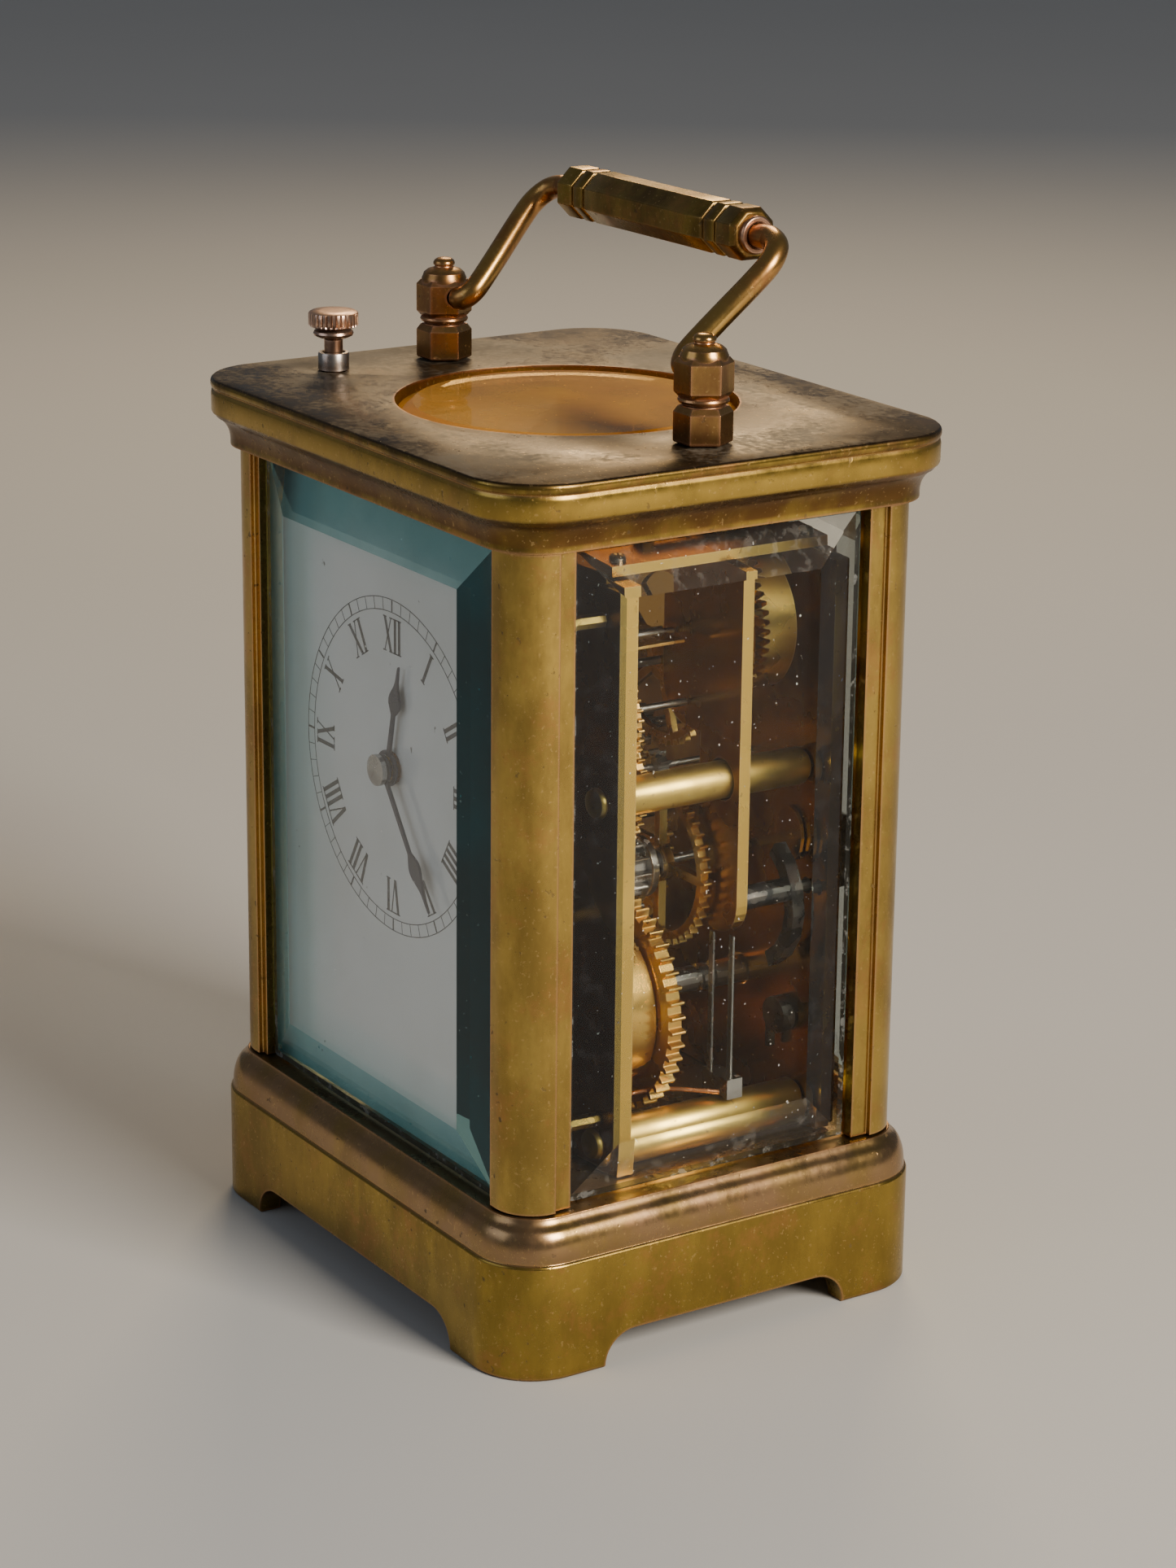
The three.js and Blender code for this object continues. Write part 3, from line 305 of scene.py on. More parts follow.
def prism(name, outline, axis, low, high, material=None):
    """An outline drawn in two axes and carried from low to high along the third, x, y or z."""
    rings = [[along(axis, a, b, c) for a, b in outline] for c in (low, high)]
    return make_piece(name, *skin_rings(rings), material)


def arc(cx, cy, rx, ry, first, last, steps):
    angles = [math.radians(first + (last - first) * i / steps) for i in range(steps + 1)]
    return [(cx + rx * math.cos(a), cy + ry * math.sin(a)) for a in angles]


def measured(node):
    """A CAD node's lowest and highest corners, in millimetres."""
    low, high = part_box(node)
    return [c / MM for c in low], [c / MM for c in high]


base_low, base_high = measured("base_plinth")
BASE_TOP = base_high[2]
BASE_GROW = 3.55
BODY_W = base_high[0] - base_low[0] - 2 * BASE_GROW
BODY_D = base_high[1] - base_low[1] - 2 * BASE_GROW
BODY_R = 7
ovolo = [(x + 0.9, z) for x, z in arc(0, PLINTH_TOP + 0.7, 2.2, 5.0, 4, 78, 9)]
base_profile = [(BASE_GROW - 0.35, 0), (BASE_GROW, 0.35), (BASE_GROW, PLINTH_TOP - 0.2)]
base_profile += [(BASE_GROW - 0.12, PLINTH_TOP + 0.15), (BASE_GROW - 0.45, PLINTH_TOP + 0.35)]
base_profile += ovolo + [(0.75, BASE_TOP - 0.7), (0.5, BASE_TOP)]
base = moulded("plinth", base_profile, BODY_W, BODY_D, BODY_R)
FOOT_ARCH, ARCH_CURVE = 5.5, 5.4
ARCH_HALF_WIDE, ARCH_HALF_DEEP = 31, 22.5
BASE_WALL, BASE_CEILING = 4, 16
RIGHT_THROUGH = 60


def arch_outline(half):
    right = arc(half - ARCH_CURVE, 0.2, ARCH_CURVE, FOOT_ARCH - 0.2, 0, 90, 10)
    return [(half, -1)] + right + [(-x, z) for x, z in reversed(right)] + [(-half, -1)]


inside = BASE_GROW - BASE_WALL
hollow = moulded("hollow", [(inside, -1), (inside, BASE_CEILING)], BODY_W, BODY_D, BODY_R)
arches = []
for half, axis in ((ARCH_HALF_WIDE, "y"), (ARCH_HALF_DEEP, "x")):
    arches.append(prism("arch", arch_outline(half), axis, -RIGHT_THROUGH, RIGHT_THROUGH))
cut_away(base, [hollow] + arches)
base.data.materials.append(base_brass)
soften(base, 0.12, 2, 40)
finish_piece(base, "case", "case_brass", "base_plinth")

# ---- Corner posts ----
# Four drawn brass pillars hold the top to the base. Each is a round column with a stepped strip on
# both sides, and the strips clasp the edges of the glasses.
POST_LOW, POST_HIGH = (corner[2] for corner in measured("corner_post_front_right"))
GOLD, GOLD_SHADE = (0.5, 0.34, 0.085, 1), (0.29, 0.19, 0.05, 1)
post_brass = aged_brass("post_brass", GOLD, GOLD_SHADE, COPPER_PINK, 0, 1.0, 0.17)
COLUMN_R = 6.6
column = arc(BODY_W / 2 - COLUMN_R, -BODY_D / 2 + COLUMN_R, COLUMN_R, COLUMN_R, -90, 0, 18)
post_section = [(35.5, -35.5), (36.75, -35.5), (36.9, -35.65), (36.9, -36.3)] + column
post_section += [(45, -29.5), (44.35, -29.5), (44.2, -29.35), (44.2, -26.4), (41.4, -26.4)]
post_section += [(41.4, -30.4), (38.6, -32.9), (35.5, -32.9)]
CORNERS = [("front_right", 1, 1), ("front_left", -1, 1), ("back_right", 1, -1), ("back_left", -1, -1)]
for place, sx, sy in CORNERS:
    outline = [(x * sx, y * sy) for x, y in post_section]
    post = prism("pillar_" + place, outline, "z", POST_LOW, POST_HIGH, post_brass)
    soften(post, 0.14, 2, 32)
    finish_piece(post, "case", "case_brass", "corner_post_" + place)


# ---- Glasses ----
# Thick plates of ground glass stand in the front and the two sides. A wide bevel runs round each, and
# its rough arrissed edges have small chips that catch the light.
def clear_glass(name, tint, frost=0.0, haze=0.004, film=(0.62, 0.6, 0.55, 1), bending=1.5):
    """Ground plate glass with dust motes; frost chips its face, and haze is how much film lies on it. On the
    top pane the film is a painted golden glow, and on the upright side bevels a dark film adds to their
    painted shade.
    """
    material, tone = start_finish(name)
    smears = cloud(tone, 26, 5).above(0.45, 0.8)
    motes = cloud(tone, 1300, 1).above(0.77, 0.8)
    chips = cloud(tone, 330, 5, None, 0.75).above(0.53, 0.62) * frost
    drive(material, roughness=0.005 + 0.02 * smears + 0.3 * motes + 0.5 * chips)
    body = surface_of(material)
    body["Base Color"].default_value = tint
    body["Transmission Weight"].default_value = 1
    body["IOR"].default_value = bending
    cover = motes * 0.6 + haze * (0.5 + smears) + chips * 0.7
    glass = Tone(tone.tree, tone.tree.nodes["Principled BSDF"].outputs[0])
    # The film: dust on most panes, a painted golden glow on the top pane.
    lying = tone.node("ShaderNodeBsdfDiffuse", {}, {"Color": film})
    dusty = tone.node("ShaderNodeMixShader", {}, {0: cover, 1: glass, 2: lying})
    shadow = tone.node("ShaderNodeLightPath", output="Is Shadow Ray")
    passing = tone.node("ShaderNodeBsdfTransparent", {}, {"Color": tint})
    whole = tone.node("ShaderNodeMixShader", {}, {0: shadow, 1: dusty, 2: passing})
    tone.tree.links.new(whole.socket, tone.tree.nodes["Material Output"].inputs["Surface"])
    return material


pane_glass = clear_glass("pane_glass", (0.96, 0.98, 0.975, 1))
sea_glass = clear_glass("sea_glass", (0.36, 0.72, 0.72, 1), 0.03, 0.3, (0.03, 0.17, 0.19, 1))
side_glass = clear_glass("side_glass", (0.95, 0.96, 0.94, 1), 0.0, 0.003, bending=1.2)
bevel_glass = clear_glass("bevel_glass", (0.82, 0.86, 0.86, 1), 0.1, 0.05, bending=1.3)
# Painted shade: the upright bevels of the side panes get a dark tint and a dark film, while their level
# bevels stay light.
shaded_bevel_glass = clear_glass("shaded_bevel_glass", (0.16, 0.2, 0.21, 1), 0.1, 0.06, (0.1, 0.1, 0.11, 1), 1.3)
edge_glass = clear_glass("edge_glass", (0.14, 0.2, 0.19, 1), 0.5, 0.08, (0.3, 0.31, 0.3, 1), 1.3)


ARRIS, ARRIS_RISE = 1.1, 0.12
SMALL = 1e-3


def bevelled_pane(name, width, height, bevel, thick, edge, turn, at, flat_look, bevel_look, upright_look):
    """A pane with its bevelled face towards -Y before it is turned and set at its place."""
    rings = []
    foot = edge + ARRIS_RISE
    for inset, depth in [(0.15, 0), (0, 0.1), (0, edge), (ARRIS, foot), (bevel, thick)]:
        x, z = width / 2 - inset, height / 2 - inset
        rings.append([(x, -depth, z), (-x, -depth, z), (-x, -depth, -z), (x, -depth, -z)])
    pane = make_piece(name, *skin_rings(rings))
    for material in (flat_look, bevel_look, edge_glass, upright_look):
        pane.data.materials.append(material)
    for face in pane.data.polygons:
        depth = -face.center.y / MM
        if foot < depth < thick - SMALL:
            face.material_index = 3 if abs(face.normal.x) > abs(face.normal.z) else 1
        elif SMALL < depth < foot:
            face.material_index = 2
    spin = Matrix.Rotation(math.radians(turn), 4, "Z")
    pane.data.transform(Matrix.Translation(Vector(at) * MM) @ spin)
    return pane


PANE_MIDDLE = (POST_LOW + POST_HIGH) / 2
PANE_TALL = POST_HIGH - POST_LOW
BEVEL_WIDE, PANE_THICK, PANE_EDGE = 8.6, 2, 0.15
FRONT_WIDE, SIDE_WIDE = 70.4, 52.2
front_looks = (pane_glass, sea_glass, sea_glass)
side_looks = (side_glass, bevel_glass, shaded_bevel_glass)
PANES = [
    ("front", FRONT_WIDE, 0, (0, -34), front_looks),
    ("right", SIDE_WIDE, 90, (42, 0), side_looks),
    ("left", SIDE_WIDE, -90, (-42, 0), side_looks),
]
for side, width, turn, at, looks in PANES:
    size = (width, PANE_TALL, BEVEL_WIDE, PANE_THICK, PANE_EDGE)
    pane = bevelled_pane(side + "_pane", *size, turn, (*at, PANE_MIDDLE), *looks)
    finish_piece(pane, "case", "clear_glass", side + "_glass")


# ---- Rear door ----
# A brass frame with its own bevelled glass turns on two pins at the back left corner. A small turned
# knob near its free edge opens it for winding.
def shading_by_angle(degrees):
    """A modifier tree that rounds the shading of a finished mesh wherever its faces meet at a low angle."""
    tree = bpy.data.node_groups.new("rounded_shading", "GeometryNodeTree")
    for way in ("INPUT", "OUTPUT"):
        tree.interface.new_socket("Geometry", in_out=way, socket_type="NodeSocketGeometry")
    tone = Tone(tree)
    corner = tone.node("GeometryNodeInputMeshEdgeAngle")
    low = tone.math("LESS_THAN", corner, math.radians(degrees))
    faces = tone.node("GeometryNodeSetShadeSmooth", {}, {0: tone.node("NodeGroupInput")})
    edges = tone.node("GeometryNodeSetShadeSmooth", {"domain": "EDGE"}, {0: faces, "Shade Smooth": low})
    tone.node("NodeGroupOutput", {}, {0: edges})
    return tree


rounded_shading = shading_by_angle(33)


def refinish(material, broken, *nodes):
    """A carried-over solid keeps its shape, and gets broken edges, round shading and a real finish."""
    for name in nodes:
        node = frame["nodes"][name]
        if broken:
            break_edges(node, broken, 2, 35)
        node.modifiers.new("rounded_shading", "NODES").node_group = rounded_shading
        for place in node.material_slots:
            place.material = material


refinish(post_brass, 0.25, "back_door_frame")
door_low, door_high = measured("back_door_glass")
door_middle = [(a + b) / 2 for a, b in zip(door_low, door_high)]
door_wide, door_tall = door_high[0] - door_low[0], door_high[2] - door_low[2]
door_at = (0, door_low[1], door_middle[2])
door_size = (door_wide, door_tall, 6, 1, 0.2)
door_looks = (side_glass, bevel_glass, bevel_glass)
door_pane = bevelled_pane("door_pane", *door_size, 180, door_at, *door_looks)
finish_piece(door_pane, "back_door", "clear_glass", "back_door_glass")


def turned(name, profile, axis, at, sides=48, material=None, turn=0.0, flutes=None):
    """A lathe-turned piece from radius and height pairs; flutes(step, radius, height) may vary a radius."""
    rings = []
    for radius, height in profile:
        ring = []
        for i in range(sides):
            angle = turn + 2 * math.pi * i / sides
            r = flutes(i, radius, height) if flutes else radius
            point = along(axis, r * math.cos(angle), r * math.sin(angle), height)
            ring.append([c + shift for c, shift in zip(point, at)])
        rings.append(ring)
    hollow_core = profile[0][0] > 0
    return make_piece(name, *skin_rings(rings, False, hollow_core), material)


knob_low, knob_high = measured("back_door_knob")
knob_at = [(a + b) / 2 for a, b in zip(knob_low, knob_high)]
knob_at[1] = knob_low[1]
knob_profile = [(0, 0), (1.25, 0), (1.25, 0.25), (1.0, 0.45), (1.0, 1.3), (1.5, 1.6), (2.2, 2.0)]
knob_profile += [(2.46, 2.6), (2.5, 3.0), (2.3, 3.45), (1.9, 3.8), (1.2, 4.08), (0.5, 4.19), (0, 4.2)]
knob = turned("door_knob", knob_profile, "y", knob_at, 40, post_brass)
soften(knob, 0, angle=40)
finish_piece(knob, "back_door", "case_brass", "back_door_knob")

# ---- Top frame ----
# The heavy cornice is one casting: a cove spreading upwards, a flat band, and a bead round the top plate.
# The plate has a round window with a rebated seat, and a hole for the button tube.
top_low, top_high = measured("top_frame")
CASE_TOP = top_high[2]
CORNICE_FOOT = top_low[2]
cove = [(x, z) for x, z in arc(5.2, 129.9, 3.5, 4.1, 180, 112, 8)]
cornice = [(1.7, CORNICE_FOOT), (1.7, CORNICE_FOOT + 0.8)] + cove
cornice += [(4.2, 134.15), (4.55, 134.4), (4.66, 134.7), (4.68, 137.5), (4.58, 137.95), (4.42, 138.15)]
cornice += [(4.42, 138.35), (4.62, 138.5), (4.74, 138.85), (4.74, 139.4), (4.6, 139.75), (4.3, CASE_TOP)]
WINDOW_R = 26.8
# Painted shade: the cove faces down under the overhang, and this band paints it dark brown.
cove_shade_band = (129.9, 134.2, (0.14, 0.07, 0.022, 1), 1.0)
side_band = (134.5, 138.2, (0.5, 0.33, 0.07, 1), 0.85)
plate_band = (139.75, 141, (0.06, 0.038, 0.018, 1), 1.7)
cornice_bands = [cove_shade_band, side_band, plate_band]
BROWN_SHADE = (0.13, 0.08, 0.025, 1)
cornice_brass = aged_brass("cornice_brass", OLIVE_GOLD, BROWN_SHADE, COPPER_PINK, 1.0, bands=cornice_bands)
top_frame = moulded("cornice", cornice, BODY_W, BODY_D, BODY_R)
room = [(-40.5, -31.8), (40.5, -31.8), (40.5, 31.8), (-40.5, 31.8)]
BUTTON = (-37.5, -20.5)
SEAT, ABOVE, BELOW, BUTTON_HOLE_R, MIDDLE = 137, 141, 130, 2.1, (0, 0, 0)


def drilled(name, radius, low, at, sides):
    return turned(name, [(0, low), (radius, low), (radius, ABOVE), (0, ABOVE)], "z", at, sides)


cutters = [prism("room", room, "z", CORNICE_FOOT - 1, 135.6), drilled("seat", WINDOW_R, SEAT, MIDDLE, 96)]
cutters += [drilled("window", WINDOW_R - 1.8, BELOW, MIDDLE, 96)]
cutters += [drilled("button_hole", BUTTON_HOLE_R, BELOW, (*BUTTON, 0), 24)]
cut_away(top_frame, cutters)
top_frame.data.materials.append(cornice_brass)
soften(top_frame, 0.1, 2, 40)
finish_piece(top_frame, "case", "case_brass", "top_frame")
window_pane = [(0, 137.3), (26.3, 137.3), (26.4, 137.4), (26.4, 138.4), (26.2, 138.6), (24, 139.7)]
window_pane += [(0, 139.7)]
# Painted light: the amber tint and the thick golden film paint the glow of lit brass seen through the top
# window.
golden_glow_glass = clear_glass("golden_glow_glass", (0.93, 0.7, 0.34, 1), 0.0, 0.6, (0.5, 0.28, 0.06, 1))
top_pane = turned("top_pane", window_pane, "z", MIDDLE, 96, golden_glow_glass)
soften(top_pane, 0, angle=15)
finish_piece(top_pane, "case", "clear_glass", "top_glass")

# ---- Handle posts ----
# Turned brass posts screw down through the top. Each has a hexagonal nut, a necked collar, a hexagonal
# head bored for the handle's pivot, and a stepped button on top.
HEX = 7.8 / math.sqrt(3)
PIVOT_Z = 150.6
POST_X = 37.3
hex_nut = [(0, 140.3), (HEX - 0.25, 140.3), (HEX, 140.55), (HEX, 144.9), (HEX - 0.7, 145.8), (0, 145.8)]
hex_head = [(0, 147.2), (HEX - 0.7, 147.2), (HEX, 147.95), (HEX, 152.35), (HEX - 0.7, 153.1), (0, 153.1)]
neck = [(0, 145.2), (3.3, 145.2), (3.3, 145.9), (3.0, 146.1), (3.2, 146.25), (3.75, 146.35), (3.92, 146.7)]
neck += [(3.75, 147.05), (3.3, 147.25), (0, 147.4)]
crown = [(0, 152.6), (3.65, 152.6), (3.65, 153.3), (3.45, 153.75), (3.3, 154.2), (2.7, 154.7), (1.9, 154.95)]
crown += [(1.55, 155.1), (1.5, 155.3), (1.75, 155.5), (1.75, 155.85), (1.55, 156.2), (1.1, 156.5)]
crown += [(0, 156.6)]


def joined(name, parts):
    """One piece from several, each part keeping its own material."""
    whole = bmesh.new()
    materials = []
    for part in parts:
        known = len(whole.faces)
        own = part.data.materials[0] if part.data.materials else None
        if own not in materials:
            materials.append(own)
        whole.from_mesh(part.data)
        whole.faces.ensure_lookup_table()
        for face in whole.faces[known:]:
            face.material_index = materials.index(own)
        bpy.data.objects.remove(part)
    mesh = bpy.data.meshes.new(name)
    whole.to_mesh(mesh)
    whole.free()
    for material in materials:
        if material:
            mesh.materials.append(material)
    piece = bpy.data.objects.new(name, mesh)
    bpy.context.collection.objects.link(piece)
    return piece


WARM_GOLD, RED_SHADE, ROSE_EDGE = (0.5, 0.3, 0.09, 1), (0.23, 0.11, 0.045, 1), (0.68, 0.34, 0.2, 1)
finial_brass = aged_brass("finial_brass", WARM_GOLD, RED_SHADE, ROSE_EDGE, 0.3)
for side, sign in (("left", -1), ("right", 1)):
    at = (sign * POST_X, 0, 0)
    parts = [turned("part", profile, "z", at, 6) for profile in (hex_nut, hex_head)]
    hole = [(0, 28), (1.6, 28), (1.6, 36.9), (0, 36.9)]
    hole = [(r, sign * h) for r, h in hole]
    cut_away(parts[1], [turned("hole", hole, "x", (0, 0, PIVOT_Z), 32)])
    parts += [turned("part", profile, "z", at, 48) for profile in (neck, crown)]
    post = joined("handle_pillar_" + side, parts)
    post.data.materials.append(finial_brass)
    soften(post, 0.12, 2, 30)
    finish_piece(post, "case", "case_brass", "handle_post_" + side)


# ---- Handle ----
# A brass wire, drawn and bent cold, turns in the two posts and leans back as it stands. It carries an
# octagonal brass grip, turned and milled, with a small collar at each end.
def smooth_path(points, steps):
    """A curve through every point, with a number of steps between each two."""
    points = [Vector(p) for p in points]
    padded = [2 * points[0] - points[1]] + points + [2 * points[-1] - points[-2]]
    path = []
    for a, b, c, d in zip(padded, padded[1:], padded[2:], padded[3:]):
        for step in range(steps):
            t = step / steps
            first = 2 * b + (c - a) * t + (2 * a - 5 * b + 4 * c - d) * t**2
            path.append((first + (3 * b - a - 3 * c + d) * t**3) / 2)
    return path + [points[-1]]


def swept(name, path, radius, sides, material=None):
    """A round wire along a path; radius may be a function of the share of the way along."""
    rings = []
    across = None
    for i, point in enumerate(path):
        along = (path[min(i + 1, len(path) - 1)] - path[max(i - 1, 0)]).normalized()
        if across is None:
            across = along.orthogonal().normalized()
        across = (across - along * across.dot(along)).normalized()
        other = along.cross(across)
        r = radius(i / (len(path) - 1)) if callable(radius) else radius
        turns = [2 * math.pi * k / sides for k in range(sides)]
        rings.append([tuple(point + r * (math.cos(t) * across + math.sin(t) * other)) for t in turns])
    return make_piece(name, *skin_rings(rings), material)


LEAN = math.radians(45)
REACH = 24.4
half_wire = [(32.9, 0), (31.6, 0.25), (30.6, 1.6), (30.5, 3.6), (31.4, 9), (32.9, 16.6), (33.2, 20.4)]
half_wire += [(31.9, 23.2), (29.3, REACH), (26.4, REACH), (10, REACH)]
whole_wire = [(-u, v) for u, v in half_wire] + half_wire[::-1]
leaning = [(u, v * math.sin(LEAN), PIVOT_Z + v * math.cos(LEAN)) for u, v in whole_wire]
wire_colours = ((0.5, 0.31, 0.09, 1), (0.3, 0.13, 0.05, 1), (0.7, 0.34, 0.18, 1))
wire_brass = aged_brass("wire_brass", *wire_colours, 0.1, 1, 0.22)
WIRE_R, PIN_R, PIN_LOW, PIN_HIGH = 1.85, 1.2, 32.2, 36.2
parts = [swept("handle_wire", smooth_path(leaning, 8), WIRE_R, 32)]
for a, b in ((-PIN_HIGH, -PIN_LOW), (PIN_LOW, PIN_HIGH)):
    parts.append(turned("pin", [(0, a), (PIN_R, a), (PIN_R, b), (0, b)], "x", (0, 0, PIVOT_Z), 24))
bail = joined("handle_wire", parts)
bail.data.materials.append(wire_brass)
soften(bail, 0, angle=50)
finish_piece(bail, "handle", "case_brass", "handle_bail")
END = 26
FACET = 4 / math.cos(math.pi / 8)
grip_half = [(10, FACET - 0.05), (16, FACET)]
for groove in (END - 10, END - 6.8):
    grip_half += [(groove, FACET), (groove + 0.35, FACET - 0.15), (groove + 0.5, FACET - 0.65)]
    grip_half += [(groove + 1.0, FACET - 0.65), (groove + 1.15, FACET - 0.15), (groove + 1.5, FACET)]
grip_half += [(END - 1.9, FACET), (END - 1.15, FACET - 0.55), (END - 1.0, FACET - 0.8), (END - 0.95, 2.4)]
grip_side = [(r, h) for h, r in grip_half]
grip_profile = [(r, -h) for r, h in reversed(grip_side)] + grip_side
grip = turned("grip_body", grip_profile, "x", MIDDLE, 8, None, math.pi / 8)
collars = []
for sign in (-1, 1):
    ring = [(1.87, -1.2), (2.95, -1.2), (2.95, -0.35), (2.75, 0), (2.1, 0), (1.87, -0.2)]
    collars.append(turned("collar", [(r, sign * (END + h)) for r, h in ring], "x", MIDDLE, 48))
tilt = Matrix.Rotation(-LEAN, 4, "X")
lift = Matrix.Translation(Vector((0, REACH * math.sin(LEAN), PIVOT_Z + REACH * math.cos(LEAN))) * MM)
grip_colours = ((0.34, 0.23, 0.05, 1), (0.12, 0.075, 0.02, 1), (0.6, 0.36, 0.15, 1))
grip_brass = aged_brass("grip_brass", *grip_colours, 0.15, 0.8, 0.24)
collar_colours = ((0.62, 0.36, 0.26, 1), (0.36, 0.2, 0.13, 1), (0.75, 0.5, 0.38, 1))
collar_brass = aged_brass("collar_brass", *collar_colours)
for piece, material in ((grip, grip_brass), (joined("grip_collars", collars), collar_brass)):
    piece.data.transform(lift @ tilt)
    piece.data.materials.append(material)
    soften(piece, 0.16, 2, 25)
    finish_piece(piece, "handle", "case_brass", *(["handle_grip"] if piece is grip else []))


# ---- Repeat button ----
# A turned and knurled brass button slides in a short steel tube pressed into the top plate. Pressing
# it repeats the last hour.
KNURL_LOW, KNURL_HIGH, KNURL_R, KNURL_DEEP = 147.55, 149.35, 3.7, 0.3


def knurl(i, radius, height):
    """A groove in every fourth step of the button's rim."""
    rim = KNURL_LOW < height < KNURL_HIGH and radius > KNURL_R
    return radius - (KNURL_DEEP if rim and i % 4 == 0 else 0)


button_profile = [(0, 133.2), (1.5, 133.2), (1.5, 145.1), (1.75, 145.35), (2.5, 145.5), (3.1, 145.8)]
button_profile += [(3.25, 146.15), (3.1, 146.5), (2.5, 146.7), (2.25, 146.85), (2.6, 147.05)]
button_profile += [(3.6, 147.2), (3.95, 147.4)]
button_profile += [(4, 147.6), (4, 149.3), (3.9, 149.5), (3.5, 149.72), (2, 149.8), (0, 149.8)]
button_colours = ((0.56, 0.36, 0.26, 1), (0.28, 0.17, 0.12, 1), (0.75, 0.52, 0.4, 1))
button_brass = aged_brass("button_brass", *button_colours, 0.6)
button = turned("button_head", button_profile, "z", (*BUTTON, 0), 128, button_brass, 0, knurl)
soften(button, 0, angle=28)
finish_piece(button, "repeat_button", "case_brass", "repeat_button")
tube_profile = [(1.8, 140.3), (2.5, 140.3), (2.5, 142.8), (2.35, 143.05), (1.95, 143.1), (1.8, 143.0)]
tube_steel = aged_brass("tube_steel", (0.5, 0.47, 0.43, 1), (0.27, 0.25, 0.23, 1), (0.6, 0.5, 0.44, 1), 0.4)
tube = turned("button_sleeve", tube_profile, "z", (*BUTTON, 0), 48, tube_steel)
soften(tube, 0, angle=35)
finish_piece(tube, "case", "case_brass", "button_tube")

# ---- Dial ----
# A rectangular plate of white vitreous enamel on copper, with Roman hours and a railway minute ring
# fired on in black. It stands on a thin brass back plate with four feet.
FACE_Z = 85
FACE_Y = -30.4
enamel, tone = start_finish("enamel")
cream = blend_colour(tone, cloud(tone, 30, 4).above(0.4, 0.7), (0.75, 0.75, 0.73, 1), (0.66, 0.66, 0.63, 1))
cream = blend_colour(tone, cloud(tone, 420, 2).above(0.75, 0.8), cream, (0.2, 0.18, 0.15, 1))
crazing = tone.node("ShaderNodeTexVoronoi", {"feature": "DISTANCE_TO_EDGE"}, {"Scale": 26, "Randomness": 1})
hairline = (1 - crazing.above(0.0, 0.006)) * cloud(tone, 20, 2).above(0.56, 0.66)
drive(enamel, base_color=blend_colour(tone, hairline * 0.4, cream, (0.4, 0.38, 0.34, 1)))
drive(enamel, roughness=0.16 + 0.12 * cloud(tone, 60, 3))
drive(enamel, normal=bumped(tone, cloud(tone, 70, 2), 0.06, 0.0004))
surface_of(enamel)["Coat Weight"].default_value = 0.5
surface_of(enamel)["Coat Roughness"].default_value = 0.06
refinish(enamel, 0.2, "dial")
ink, tone = start_finish("dial_black")
worn = cloud(tone, 300, 3).above(0.5, 0.75)
drive(ink, base_color=blend_colour(tone, worn, (0.012, 0.012, 0.016, 1), (0.05, 0.05, 0.055, 1)))
drive(ink, roughness=0.25 + 0.2 * worn)
INK = 0.04
printing = []


def stroke(points, angle):
    """A closed flat shape fired on the dial, drawn upright at the top and turned clockwise to its place."""
    c, s = math.cos(angle), math.sin(angle)
    outline = [(x * c + z * s, FACE_Z + z * c - x * s) for x, z in points]
    printing.append(prism("ink", outline, "y", FACE_Y - INK, FACE_Y))


HEAD_R, FOOT_R = 24.0, 18.4
THICK, THIN, SERIF = 0.66, 0.24, 0.2


def bar(low_x, high_x, half, low, high, angle):
    corners = [(low_x - half, low), (low_x + half, low), (high_x + half, high), (high_x - half, high)]
    stroke(corners, angle)


def leaning_stroke(low_x, high_x, width, angle):
    bar(low_x, high_x, width / 2, FOOT_R, HEAD_R, angle)


def serif(x, half, angle):
    for z in (FOOT_R, HEAD_R - SERIF):
        bar(x, x, half, z, z + SERIF, angle)


ADVANCE = {"I": 1.25, "V": 2.9, "X": 3.1}
HOURS = ["XII", "I", "II", "III", "IIII", "V", "VI", "VII", "VIII", "IX", "X", "XI"]
for hour, numeral in enumerate(HOURS):
    angle = hour * math.pi / 6
    x = -sum(ADVANCE[letter] for letter in numeral) / 2
    for letter in numeral:
        middle = x + ADVANCE[letter] / 2
        if letter == "I":
            leaning_stroke(middle, middle, THICK, angle)
            serif(middle, 0.6, angle)
        elif letter == "V":
            leaning_stroke(middle, middle - 0.95, THICK, angle)
            leaning_stroke(middle + 0.1, middle + 1.05, THIN, angle)
            bar(middle - 0.025, middle - 0.025, 1.475, HEAD_R - SERIF, HEAD_R, angle)
        else:
            leaning_stroke(middle + 0.95, middle - 0.95, THICK, angle)
            leaning_stroke(middle - 0.95, middle + 0.95, THIN, angle)
            serif(middle - 0.95, 0.5, angle)
            serif(middle + 0.95, 0.5, angle)
        x += ADVANCE[letter]
TRACK_IN, TRACK_OUT = 24.9, 26.9
for minute in range(60):
    half = 0.17 if minute % 5 == 0 else 0.055
    bar(0, 0, half, TRACK_IN + 0.05, TRACK_OUT - 0.05, minute * math.pi / 30)
for radius in (TRACK_IN, TRACK_OUT):
    ring = [(radius - 0.07, 0), (radius + 0.07, 0), (radius + 0.07, -INK), (radius - 0.07, -INK)]
    printing.append(turned("ink", ring, "y", (0, FACE_Y, FACE_Z), 180))
dial_printing = joined("dial_printing", printing)
dial_printing.data.materials.append(ink)
finish_piece(dial_printing, "case", "white_enamel")

